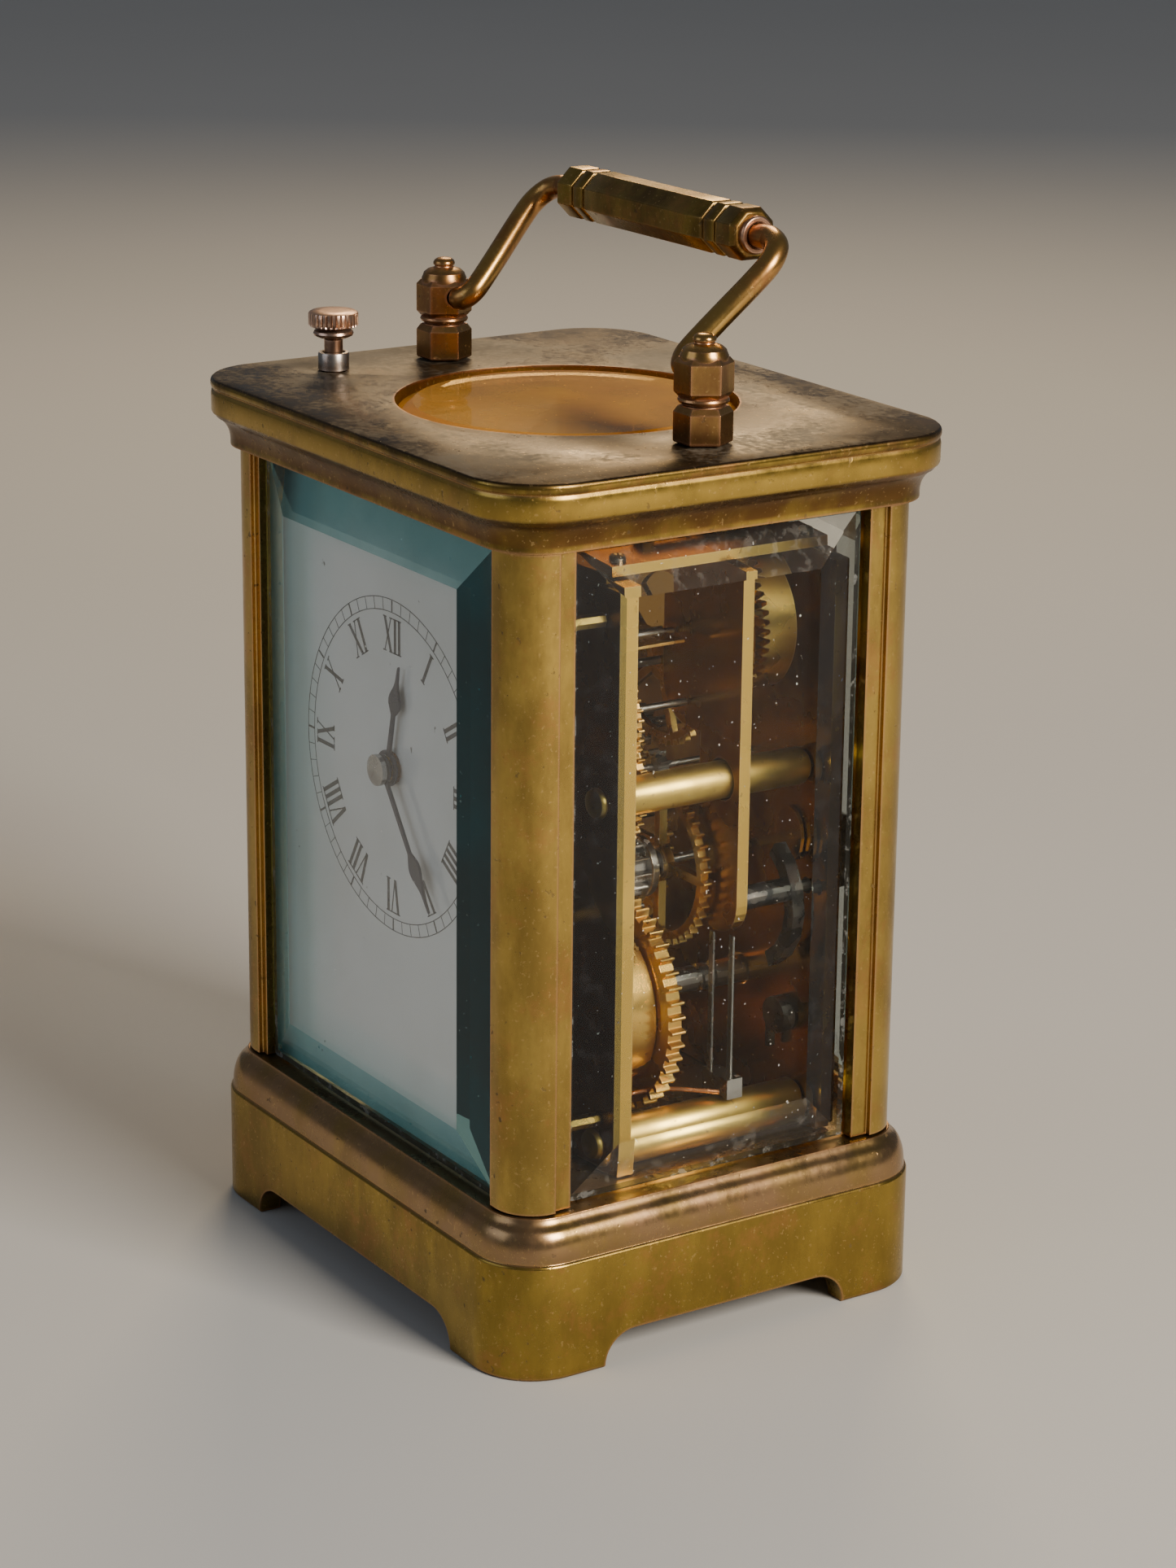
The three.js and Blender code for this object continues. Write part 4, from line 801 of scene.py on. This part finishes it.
# ---- Hands ----
# Blued steel spade hands: the hour hand on its pipe, and the minute hand squared on the centre arbor
# under a steel collet.
blued, tone = start_finish("blued_steel")
bloom = cloud(tone, 130, 4).above(0.35, 0.7)
drive(blued, base_color=blend_colour(tone, bloom, (0.03, 0.035, 0.06, 1), (0.075, 0.07, 0.085, 1)))
drive(blued, metallic=0.9 - 0.25 * bloom, roughness=0.26 + 0.22 * bloom)
drive(blued, normal=bumped(tone, cloud(tone, 900, 2), 0.15, 0.00004))


SPADE_SWELL, BLADE_THICK, EYE_THICK = 1.25, 0.45, 0.5


def spade_hand(name, stem, spade, length, hub, bore, degrees, y, body, node):
    """A slim stem, a leaf-shaped spade and a long point, pierced at the hub and turned to its hour."""
    low, high = spade
    side = [(stem + 0.08, hub - 0.2), (stem, low)]
    for t in (0.1, 0.3, 0.45, 0.6, 0.75, 0.9):
        swell = math.sin(math.pi * t**0.8) ** 1.5
        side.append((stem + SPADE_SWELL * swell, low + (high - low) * t))
    side += [(stem * 0.75, high + 0.4), (0.12, length - 0.2), (0, length)]
    blade = side + [(-x, z) for x, z in reversed(side[:-1])]
    eye = [(bore, 0), (hub, 0), (hub, EYE_THICK), (bore, EYE_THICK)]
    parts = [prism("blade", blade, "y", 0, BLADE_THICK), turned("eye", eye, "y", MIDDLE, 48)]
    hand = joined(name, parts)
    lift = Matrix.Translation(Vector((0, y, FACE_Z)) * MM)
    hand.data.transform(lift @ Matrix.Rotation(math.radians(degrees), 4, "Y"))
    hand.data.materials.append(blued)
    soften(hand, 0.08, 2, 30)
    finish_piece(hand, body, "blued_steel", node)


spade_hand("hour_spade", 0.42, (9.2, 14.6), 17.6, 2.9, 2.15, 12, -31.6, "hour_hand", "hour_hand")
spade_hand("minute_spade", 0.38, (14.2, 20.6), 24.2, 2.4, 1.15, 144, -32.5, "minute_hand", "minute_hand")


# ---- Movement finishes ----
# Plates are gilt brass gone brown-gold, sawn bright at the edges, and wheels are bright rolled brass. Only
# the plate edges that face along X get the bright colour, so it is partly painted light.
# Arbors and pinions are polished steel with a little rust.
def bright_brass(name, light, dark, gloss, sawn_and_lit_edges=0.0):
    material, tone = start_finish(name)
    clouds = cloud(tone, 60, 4).above(0.42, 0.68)
    spots = cloud(tone, 800, 2).above(0.66, 0.74)
    lines = cloud(tone, 260, 3, (1, 0.12, 1))
    colour = blend_colour(tone, clouds, light, dark)
    if sawn_and_lit_edges:
        # Bright sawn edge on faces turned along X only: partly the real finish, partly painted light.
        across = tone.node("ShaderNodeSeparateXYZ", {}, {0: tone.node("ShaderNodeNewGeometry", output=1)}, 0)
        lit_sawn_sides = (across * across).above(0.6, 0.8) * sawn_and_lit_edges
        colour = blend_colour(tone, lit_sawn_sides, colour, (0.8, 0.55, 0.13, 1))
    colour = blend_colour(tone, edge_wear(tone, 0.0004) * 0.7, colour, (0.82, 0.6, 0.27, 1))
    colour = blend_colour(tone, spots * 0.55, colour, (0.12, 0.07, 0.03, 1))
    drive(material, base_color=colour, roughness=gloss + 0.16 * clouds + 0.1 * lines + 0.1 * spots)
    drive(material, metallic=1 - 0.25 * spots, normal=bumped(tone, lines + spots, 0.12, 0.00005))
    return material


plate_brass = bright_brass("plate_brass", (0.46, 0.25, 0.05, 1), (0.2, 0.085, 0.02, 1), 0.16, 0.8)
wheel_brass = bright_brass("wheel_brass", (0.72, 0.47, 0.12, 1), (0.44, 0.25, 0.06, 1), 0.17)
pillar_brass = bright_brass("pillar_brass", (0.58, 0.42, 0.11, 1), (0.31, 0.22, 0.06, 1), 0.26)
steel, tone = start_finish("bright_steel")
grey = cloud(tone, 220, 4, (1, 0.15, 1)).above(0.35, 0.7)
rust = cloud(tone, 480, 3).above(0.63, 0.74)
steel_colour = blend_colour(tone, grey, (0.5, 0.49, 0.47, 1), (0.3, 0.28, 0.26, 1))
drive(steel, base_color=blend_colour(tone, rust * 0.6, steel_colour, (0.16, 0.09, 0.05, 1)))
drive(steel, metallic=1 - 0.4 * rust, roughness=0.2 + 0.14 * grey + 0.25 * rust)
# ---- Wheels and pinions ----
# Wheels are cut from sheet brass with rounded teeth and filed crossings. Pinions and arbors are one
# piece of steel, with polished leaves.
def tooth_ring(teeth, module, at, phase, leaf):
    """The outline of a toothed wheel, or of a pinion with narrower leaves."""
    radius, pitch = teeth * module / 2, 2 * math.pi / teeth
    flank = [(-0.25, -0.95), (-0.19, -0.75), (-0.17, 0.1), (-0.09, 0.58), (0, 0.7)]
    if leaf:
        flank = [(-0.21, -1.05), (-0.13, -0.3), (-0.12, 0.15), (-0.06, 0.5), (0, 0.6)]
    spots = flank + [(-share, rise) for share, rise in reversed(flank[:-1])]
    points = []
    for tooth in range(teeth):
        for share, rise in spots:
            angle = phase + (tooth + share) * pitch
            r = radius + rise * module
            points.append((at[0] + r * math.cos(angle), at[1] + r * math.sin(angle)))
    return points


def crossings(spokes, hub, rim, at, width):
    windows = []
    for i in range(spokes):
        first, last = 2 * math.pi * i / spokes, 2 * math.pi * (i + 1) / spokes
        window = []
        for radius, ends in ((rim, (first, last)), (hub, (last, first))):
            slip = math.copysign(width / radius / 2, ends[1] - ends[0])
            for step in range(9):
                angle = ends[0] + slip + (ends[1] - ends[0] - 2 * slip) * step / 8
                window.append((at[0] + radius * math.cos(angle), at[1] + radius * math.sin(angle)))
        windows.append(window)
    return windows


def sheet_metal(outline, windows, low, high, material):
    """A flat plate in X and Z with windows through it, from one level of Y to another."""
    made = bmesh.new()
    for loop in [outline] + windows:
        corners = [made.verts.new((x * MM, low * MM, z * MM)) for x, z in loop]
        for a, b in zip(corners, corners[1:] + corners[:1]):
            made.edges.new((a, b))
    bmesh.ops.triangle_fill(made, use_beauty=True, edges=made.edges[:])
    grown = bmesh.ops.extrude_face_region(made, geom=made.faces[:])
    raised = [v for v in grown["geom"] if isinstance(v, bmesh.types.BMVert)]
    bmesh.ops.translate(made, verts=raised, vec=(0, (high - low) * MM, 0))
    bmesh.ops.recalc_face_normals(made, faces=made.faces)
    mesh = bpy.data.meshes.new("sheet")
    made.to_mesh(mesh)
    made.free()
    mesh.materials.append(material)
    piece = bpy.data.objects.new("sheet", mesh)
    bpy.context.collection.objects.link(piece)
    return piece


def wheel(teeth, module, at, levels, phase, spokes):
    outline = tooth_ring(teeth, module, at, phase, False)
    radius = teeth * module / 2
    windows = crossings(spokes, radius * 0.24, radius - 2.1 * module - 0.5, at, 1.5) if spokes else []
    return sheet_metal(outline, windows, *levels, wheel_brass)


def pinion(teeth, module, at, levels, phase):
    return sheet_metal(tooth_ring(teeth, module, at, phase, True), [], *levels, steel)


def arbor(radius, at, low, high, material=None, sides=32):
    rounded = min(0.2, radius * 0.3)
    profile = [(0, low), (radius - rounded, low), (radius, low + rounded)]
    profile += [(radius, high - rounded), (radius - rounded, high), (0, high)]
    return turned("arbor", profile, "y", (at[0], 0, at[1]), sides, material or steel)


def mesh_phase(driver_phase, driver_teeth, teeth, start, end):
    """Turns a follower so that a gap of its faces a tooth of its driver on the line between them."""
    line = math.atan2(end[1] - start[1], end[0] - start[0])
    offset = (line - driver_phase) * driver_teeth / (2 * math.pi)
    slip = offset - math.floor(offset + 0.5)
    return line + math.pi + (slip + 0.5) * 2 * math.pi / teeth


def polar(at, distance, degrees):
    angle = math.radians(degrees)
    return (at[0] + distance * math.cos(angle), at[1] + distance * math.sin(angle))


def meet(first, reach, second, other_reach):
    """The point at given distances from two centres, on the left of the line between them."""
    dx, dz = second[0] - first[0], second[1] - first[1]
    apart = math.hypot(dx, dz)
    along = (reach**2 - other_reach**2 + apart**2) / (2 * apart)
    aside = math.sqrt(reach**2 - along**2)
    return (first[0] + (dx * along - dz * aside) / apart, first[1] + (dz * along + dx * aside) / apart)


PIVOTS = (-10.1, 24.2)
GREAT_TEETH = 48
BARREL_Z = 46
BORE_R = 2.6


def finish_train(name, parts, body, node):
    whole = joined(name, parts)
    soften(whole, 0.06, 2, 40)
    finish_piece(whole, body, "wheel_brass", node)


def barrel(name, side, drum, teeth_at, module, phase, body):
    """A drum with its cap and great wheel, bored for the winding arbor, as the mainspring's case."""
    at = (side * 15, BARREL_Z)
    low, high = drum
    profile = [(BORE_R, low), (3.6, low), (3.7, low + 0.25), (12.4, low + 0.25), (12.6, low + 0.1)]
    profile += [(13, low + 0.1), (13.1, low), (14.2, low), (14.6, low + 0.4), (14.6, high - 0.4)]
    profile += [(14.2, high), (BORE_R, high)]
    case = turned("drum", profile, "y", (at[0], 0, at[1]), 96, wheel_brass)
    turns = [math.pi * k / 16 for k in range(32)]
    hole = [(at[0] + BORE_R * math.cos(a), at[1] + BORE_R * math.sin(a)) for a in turns]
    great = sheet_metal(tooth_ring(GREAT_TEETH, module, at, phase, False), [hole], *teeth_at, wheel_brass)
    finish_train(name, [case, great], body, body)


# ---- Strike train ----
# The strike barrel turns the pin wheel, whose pins lift the hammer. Above it run the gathering wheel,
# the warning wheel and the fly, whose flat vane slows the train in the air.
STRIKE, LIFTING, GATHERING, WARNING = 0.75, 0.62, 0.56, 0.49
S1 = (15, BARREL_Z)
S2 = polar(S1, (GREAT_TEETH + 11) * STRIKE / 2, 84)
S3 = polar(S2, (42 + 8) * LIFTING / 2, 94.5)
S4 = polar(S3, (40 + 6) * GATHERING / 2, 65.5)
S5 = polar(S4, (40 + 6) * WARNING / 2, 110)
TO_BRIDGE = 8.5
drum_phase = mesh_phase(0, 11, GREAT_TEETH, S2, S1)
barrel("strike_drum", 1, (-9.4, -1.25), (-1.2, 1.3), STRIKE, drum_phase, "strike_barrel")
pins = [arbor(0.45, polar(S2, 11.8, 45 * i + 10), 7.4, 8.4, None, 16) for i in range(8)]
parts = [pinion(11, STRIKE, S2, (-2, 2.2), 0), arbor(5, S2, 2.2, 3.6, None, 64), arbor(1.4, S2, 3.6, 6.6)]
parts += [wheel(42, LIFTING, S2, (6.2, 7.6), 0, 4), arbor(2.6, S2, 5.6, 8), arbor(0.8, S2, *PIVOTS)] + pins
finish_train("pin_wheel", parts, "strike_pin_wheel", "strike_pin_wheel")
parts = [pinion(8, LIFTING, S3, (5.9, 7.9), mesh_phase(0, 42, 8, S2, S3)), arbor(0.5, S3, *PIVOTS)]
parts += [wheel(40, GATHERING, S3, (-3.6, -2.4), 0, 4)]
finish_train("gathering_wheel", parts, "strike_gathering_wheel", "strike_gathering_wheel")
parts = [pinion(6, GATHERING, S4, (-4.2, -1.8), mesh_phase(0, 40, 6, S3, S4))]
parts += [arbor(0.6, S4, PIVOTS[0], TO_BRIDGE), wheel(40, WARNING, S4, (-7, -6), 0, 4)]
finish_train("warning_wheel", parts, "strike_warning_wheel", "strike_warning_wheel")
vane = [(-6.2, -0.22), (6.2, -0.22), (6.2, 0.22), (-6.2, 0.22)]
vane = [(S5[0] + x, S5[1] + z) for x, z in vane]
parts = [pinion(6, WARNING, S5, (-7.6, -5.4), mesh_phase(0, 40, 6, S4, S5))]
parts += [arbor(0.55, S5, PIVOTS[0], TO_BRIDGE)]
parts += [prism("vane", vane, "y", -4, 6.4, wheel_brass), arbor(1, S5, -4, 6.4)]
finish_train("fly", parts, "strike_fly", "strike_fly")

# ---- Going train ----
# The going barrel drives the hands' centre wheel and, through two more wheels, the contrate wheel
# that turns the drive upwards to the escapement platform.
FIRST, SECOND, UPPER = 0.755, 0.745, 0.6
T1, CENTRE, T5 = (-15, BARREL_Z), (0, FACE_Z), (21.5, 107.3)
T2 = meet(T1, (GREAT_TEETH + 8) * FIRST / 2, CENTRE, (48 + 8) * SECOND / 2)
T4 = meet(CENTRE, (48 + 6) * UPPER / 2, T5, (45 + 6) * UPPER / 2)
drum_phase = mesh_phase(0, 8, GREAT_TEETH, T2, T1)
barrel("going_drum", -1, (4.45, 12.6), (2, 4.4), FIRST, drum_phase, "going_barrel")
parts = [pinion(8, FIRST, T2, (1.6, 4.8), 0), wheel(48, SECOND, T2, (14, 15.2), 0, 5), arbor(1, T2, *PIVOTS)]
finish_train("second_wheel", parts, "intermediate_wheel", "intermediate_wheel")
parts = [pinion(8, SECOND, CENTRE, (13.4, 15.8), mesh_phase(0, 48, 8, T2, CENTRE))]
parts += [arbor(0.9, CENTRE, PIVOTS[0], 28), wheel(48, UPPER, CENTRE, (4.4, 5.6), 0, 5)]
square = [(0, 27.6), (1.2, 27.6), (1.2, 30.7), (0.9, 31), (0, 31)]
parts += [turned("square", square, "y", (0, 0, FACE_Z), 4, steel)]
finish_train("hand_wheel", parts, "centre_wheel", "centre_wheel")
parts = [pinion(6, UPPER, T4, (3.8, 6.2), mesh_phase(0, 48, 6, CENTRE, T4))]
parts += [wheel(45, UPPER, T4, (11.6, 12.6), 0, 5), arbor(0.7, T4, *PIVOTS)]
finish_train("fourth_wheel", parts, "third_wheel", "third_wheel")

# ---- Frame pillars ----
# Four turned brass pillars hold the two plates apart. They are riveted to the front plate and held by
# screws at the back plate.
for level, z in (("lower", 29.4), ("upper", 85)):
    for side, x in (("left", -31), ("right", 31)):
        low, high = (corner[1] for corner in measured(f"pillar_{level}_{side}"))
        profile = [(0, low), (2.4, low), (2.6, low + 0.3), (3, low + 0.8), (3, high - 0.8)]
        profile += [(2.6, high - 0.3)]
        profile += [(2.4, high), (0, high)]
        pillar = turned(f"frame_pillar_{level}_{side}", profile, "y", (x, 0, z), 48, pillar_brass)
        soften(pillar, 0, angle=40)
        finish_piece(pillar, "case", "gilt_brass", f"pillar_{level}_{side}")

# ---- Balance and platform trim ----
# The balance carries a flat blued hairspring and brass timing screws. Steel screws hold the platform,
# the cock and the bridge, and red jewels sit over the upper pivots.
balance_low, balance_high = measured("balance_wheel")
BALANCE = ((balance_low[0] + balance_high[0]) / 2, (balance_low[1] + balance_high[1]) / 2)
COILS, COIL_STEPS, COIL_Z = 7, 40, 126.35
RIM_R, RIM_Z = 7.95, 125


def beside_balance(radius, angle, height):
    x, y = BALANCE[0] + radius * math.cos(angle), BALANCE[1] + radius * math.sin(angle)
    return Vector((x, y, height))


spiral = []
for step in range(COILS * COIL_STEPS + 1):
    angle = 2 * math.pi * step / COIL_STEPS
    radius = 1.1 + 0.55 * step / COIL_STEPS
    spiral.append(beside_balance(radius, angle, COIL_Z))
hairspring = swept("hairspring", spiral, 0.09, 6, blued)
finish_piece(hairspring, "balance_wheel", "blued_steel")
timing = []
for i in range(12):
    angle = math.pi / 12 + i * math.pi / 6
    start = beside_balance(RIM_R, angle, RIM_Z)
    out = Vector((math.cos(angle), math.sin(angle), 0))
    screw = [start, start + 0.35 * out, start + 0.36 * out, start + 0.9 * out]
    timing.append(swept("timing", screw, lambda t: 0.28 if t < 0.5 else 0.5, 16, wheel_brass))
finish_piece(joined("timing_screws", timing), "balance_wheel", "wheel_brass")
ruby, tone = start_finish("ruby")
drive(ruby, base_color=blend_colour(tone, cloud(tone, 900, 2), (0.35, 0.01, 0.03, 1), (0.6, 0.03, 0.07, 1)))
drive(ruby, roughness=0.06 + 0.06 * cloud(tone, 1200, 2))

# ---- Rivets, screws and oil sinks ----
# Domed rivets close the pillars at the front plate, and slotted steel screws hold them at the back.
# Each wheel's pivot shows in the back plate as a bright dot in a turned oil sink.
FRONT_OUT, BACK_OUT = measured("front_movement_plate")[0][1], measured("back_movement_plate")[1][1]


def slotted_screw(at, level, radius, out, degrees, axis="y"):
    """A domed screw head on a face, with its slot cut across at an angle."""
    dome = [(0, 0), (radius, 0), (radius, 0.55), (radius * 0.86, 0.85), (radius * 0.5, 1.05), (0, 1.1)]
    dome = [(r, out * h) for r, h in dome]
    place = (at[0], level, at[1]) if axis == "y" else (at[0], at[1], level)
    head = turned("screw", dome, axis, place, 40, steel)
    c, s = math.cos(math.radians(degrees)), math.sin(math.radians(degrees))
    corners = [(a * radius * 1.2, b * radius * 0.13) for a, b in ((-1, -1), (1, -1), (1, 1), (-1, 1))]
    slot = [(at[0] + a * c - b * s, at[1] + a * s + b * c) for a, b in corners]
    ends = sorted((level + out * 0.6, level + out * 1.5))
    cut_away(head, [prism("slot", slot, axis, *ends)])
    if not head.data.materials:
        head.data.materials.append(steel)
    return head


rivet = [(0, 0), (2.5, 0), (2.5, -0.3), (2.2, -0.8), (1.4, -1.15), (0, -1.3)]
rivets, screws = [], []
for turn, (x, z) in enumerate([(-31, 29.4), (31, 29.4), (-31, 85), (31, 85)]):
    rivets.append(turned("rivet", rivet, "y", (x, FRONT_OUT, z), 40, pillar_brass))
    screws.append(slotted_screw((x, z), BACK_OUT, 2.7, 1, 35 + 50 * turn))
for turn, (x, z) in enumerate([(-26, 112), (26, 112), (33, 40)]):
    screws.append(slotted_screw((x, z), BACK_OUT, 1.6, 1, 20 + 65 * turn))
sinks = []
sink = [(0, 0.02), (0.55, 0.02), (0.6, 0.3), (0.75, 0.32), (1.2, 0.12), (1.9, 0.1), (2.0, 0)]
for at in (S2, S3, T2, T4, T5):
    sinks.append(turned("sink", sink, "y", (at[0], BACK_OUT, at[1]), 40, wheel_brass))
HARDWARE = [
    ("pillar_rivets", rivets, "gilt_brass"),
    ("plate_screws", screws, "polished_steel"),
    ("oil_sinks", sinks, "gilt_brass"),
]
for name, parts, slot in HARDWARE:
    group = joined(name, parts)
    soften(group, 0, angle=35)
    finish_piece(group, "case", slot)

platform_top = measured("escapement_platform")[1][2]
cock_top, bridge_top = measured("balance_cock")[1][2], measured("escapement_bridge")[1][2]
ESCAPE = (21.5, 13.6)
small = []
for x, y in ((-14.5, -10.5), (-14.5, 24), (29.5, -10.5), (29.5, 24)):
    small.append(slotted_screw((x, y), platform_top, 1.3, 1, 30 * x, "z"))
small += [slotted_screw((-9.5, -1.5), cock_top, 1.5, 1, 25, "z")]
small += [slotted_screw((ESCAPE[0], y), bridge_top, 0.95, 1, 60, "z") for y in (-0.9, 20.9)]
finish_piece(joined("platform_screws", small), "case", "polished_steel")
jewels, chatons = [], []
stone = [(0, 0), (0.74, 0), (0.7, 0.12), (0.4, 0.2), (0, 0.22)]
for at, level in ((BALANCE, cock_top), (ESCAPE, bridge_top)):
    cup = [(0.75, 0), (1.25, 0), (1.25, 0.12), (1.05, 0.2), (0.8, 0.12)]
    chatons.append(turned("chaton", cup, "z", (*at, level), 32, wheel_brass))
    jewels.append(turned("jewel", stone, "z", (*at, level), 32, ruby))
finish_piece(joined("jewel_settings", chatons), "case", "gilt_brass")
finish_piece(joined("jewels", jewels), "case", "gilt_brass")

# ---- Copper wire ----
# A bare copper wire, drawn and bent by hand, runs low in the strike side from the foot of the springs
# to the front plate.
copper, tone = start_finish("copper_wire")
dull = cloud(tone, 300, 3).above(0.4, 0.7)
drive(copper, base_color=blend_colour(tone, dull, (0.8, 0.36, 0.16, 1), (0.45, 0.17, 0.07, 1)))
drive(copper, metallic=1 - 0.1 * dull, roughness=0.2 + 0.15 * dull)
route = [(32.4, 8.6, 33.6), (30.6, 5.5, 33.9), (27.8, 1.5, 34), (25.5, -2.5, 33.4), (24.4, -6.6, 32.4)]
route += [(24, -10.2, 32)]
wire = swept("copper_wire", smooth_path(route, 6), 0.4, 12, copper)
soften(wire, 0, angle=50)
finish_piece(wire, "case", "polished_steel")

# ---- Carried-over solids ----
# The plates, bridge, springs, arbors and small steelwork keep their shapes and get their finishes. The
# hammer and click are dark from hardening, and the springs are ground bright.
dark_steel, tone = start_finish("dark_steel")
scale = cloud(tone, 260, 4).above(0.35, 0.7)
drive(dark_steel, base_color=blend_colour(tone, scale, (0.07, 0.075, 0.085, 1), (0.16, 0.14, 0.12, 1)))
drive(dark_steel, metallic=0.95 - 0.2 * scale, roughness=0.2 + 0.2 * scale)
movement_finishes = {
    "gilt_brass": (plate_brass, 0.2),
    "wheel_brass": (wheel_brass, 0.06),
    "polished_steel": (steel, 0.08),
    "blued_steel": (blued, 0.08),
}
for row in frame["record"]["subparts"]:
    material, broken = movement_finishes.get(row["material_slot"], (None, 0))
    if material and not frame["nodes"][row["node"]].hide_render:
        for looks, nodes in [(dark_steel, ("hammer", "strike_click")), (steel, ("hammer_springs",))]:
            if row["node"] in nodes:
                material = looks
        refinish(material, broken, row["node"])

# ---- Studio ----
# A plain pale floor under the clock, soft lights round it and the camera. None of them is part of the
# clock.
floor, tone = start_finish("floor_paper")
drive(floor, base_color=blend_colour(tone, cloud(tone, 4, 3), (0.52, 0.52, 0.52, 1), (0.48, 0.48, 0.48, 1)))
drive(floor, roughness=0.8 + 0.1 * cloud(tone, 300, 2))
FAR = 6000
corners = [(-FAR, -FAR, 0), (FAR, -FAR, 0), (FAR, FAR, 0), (-FAR, FAR, 0)]
ground = make_piece("floor", corners, [(0, 1, 2, 3)], floor)


def softbox(name, place, aim, size, power, colour):
    light = bpy.data.lights.new(name, "AREA")
    light.shape = "RECTANGLE"
    light.size, light.size_y = size
    light.energy = power
    light.color = colour
    lamp = bpy.data.objects.new(name, light)
    lamp.location = place
    lamp.rotation_euler = (Vector(aim) - Vector(place)).to_track_quat("-Z", "Y").to_euler()
    bpy.context.collection.objects.link(lamp)


softbox("key", (0.95, 0.2, 0.62), (0, 0, 0.08), (0.4, 0.4), 19, (1, 0.9, 0.76))
softbox("fill", (-0.2, -1.0, 0.55), (0, 0, 0.08), (0.8, 0.6), 1.6, (0.8, 0.88, 1))
softbox("rim", (-0.7, 0.5, 0.7), (0, 0, 0.1), (0.3, 0.3), 4.5, (1, 0.74, 0.42))
world = bpy.data.worlds.new("studio")
bpy.context.scene.world = world
world.use_nodes = True
world.node_tree.nodes["Background"].inputs["Color"].default_value = (0.6, 0.64, 0.7, 1)
world.node_tree.nodes["Background"].inputs["Strength"].default_value = 0.2

lens = bpy.data.cameras.new("camera")
lens.lens = 88.9
lens.sensor_width = 36
lens.clip_start = 0.01
camera = bpy.data.objects.new("camera", lens)
bpy.context.collection.objects.link(camera)
stand, aim = Vector((0.4992, -0.3198, 0.2634)), Vector((0.00718, 0, 0.07909))
turn = (aim - stand).to_track_quat("-Z", "Y").to_matrix().to_4x4()
camera.matrix_world = Matrix.Translation(stand) @ turn @ Matrix.Rotation(math.radians(0.62), 4, "Z")
bpy.context.scene.camera = camera
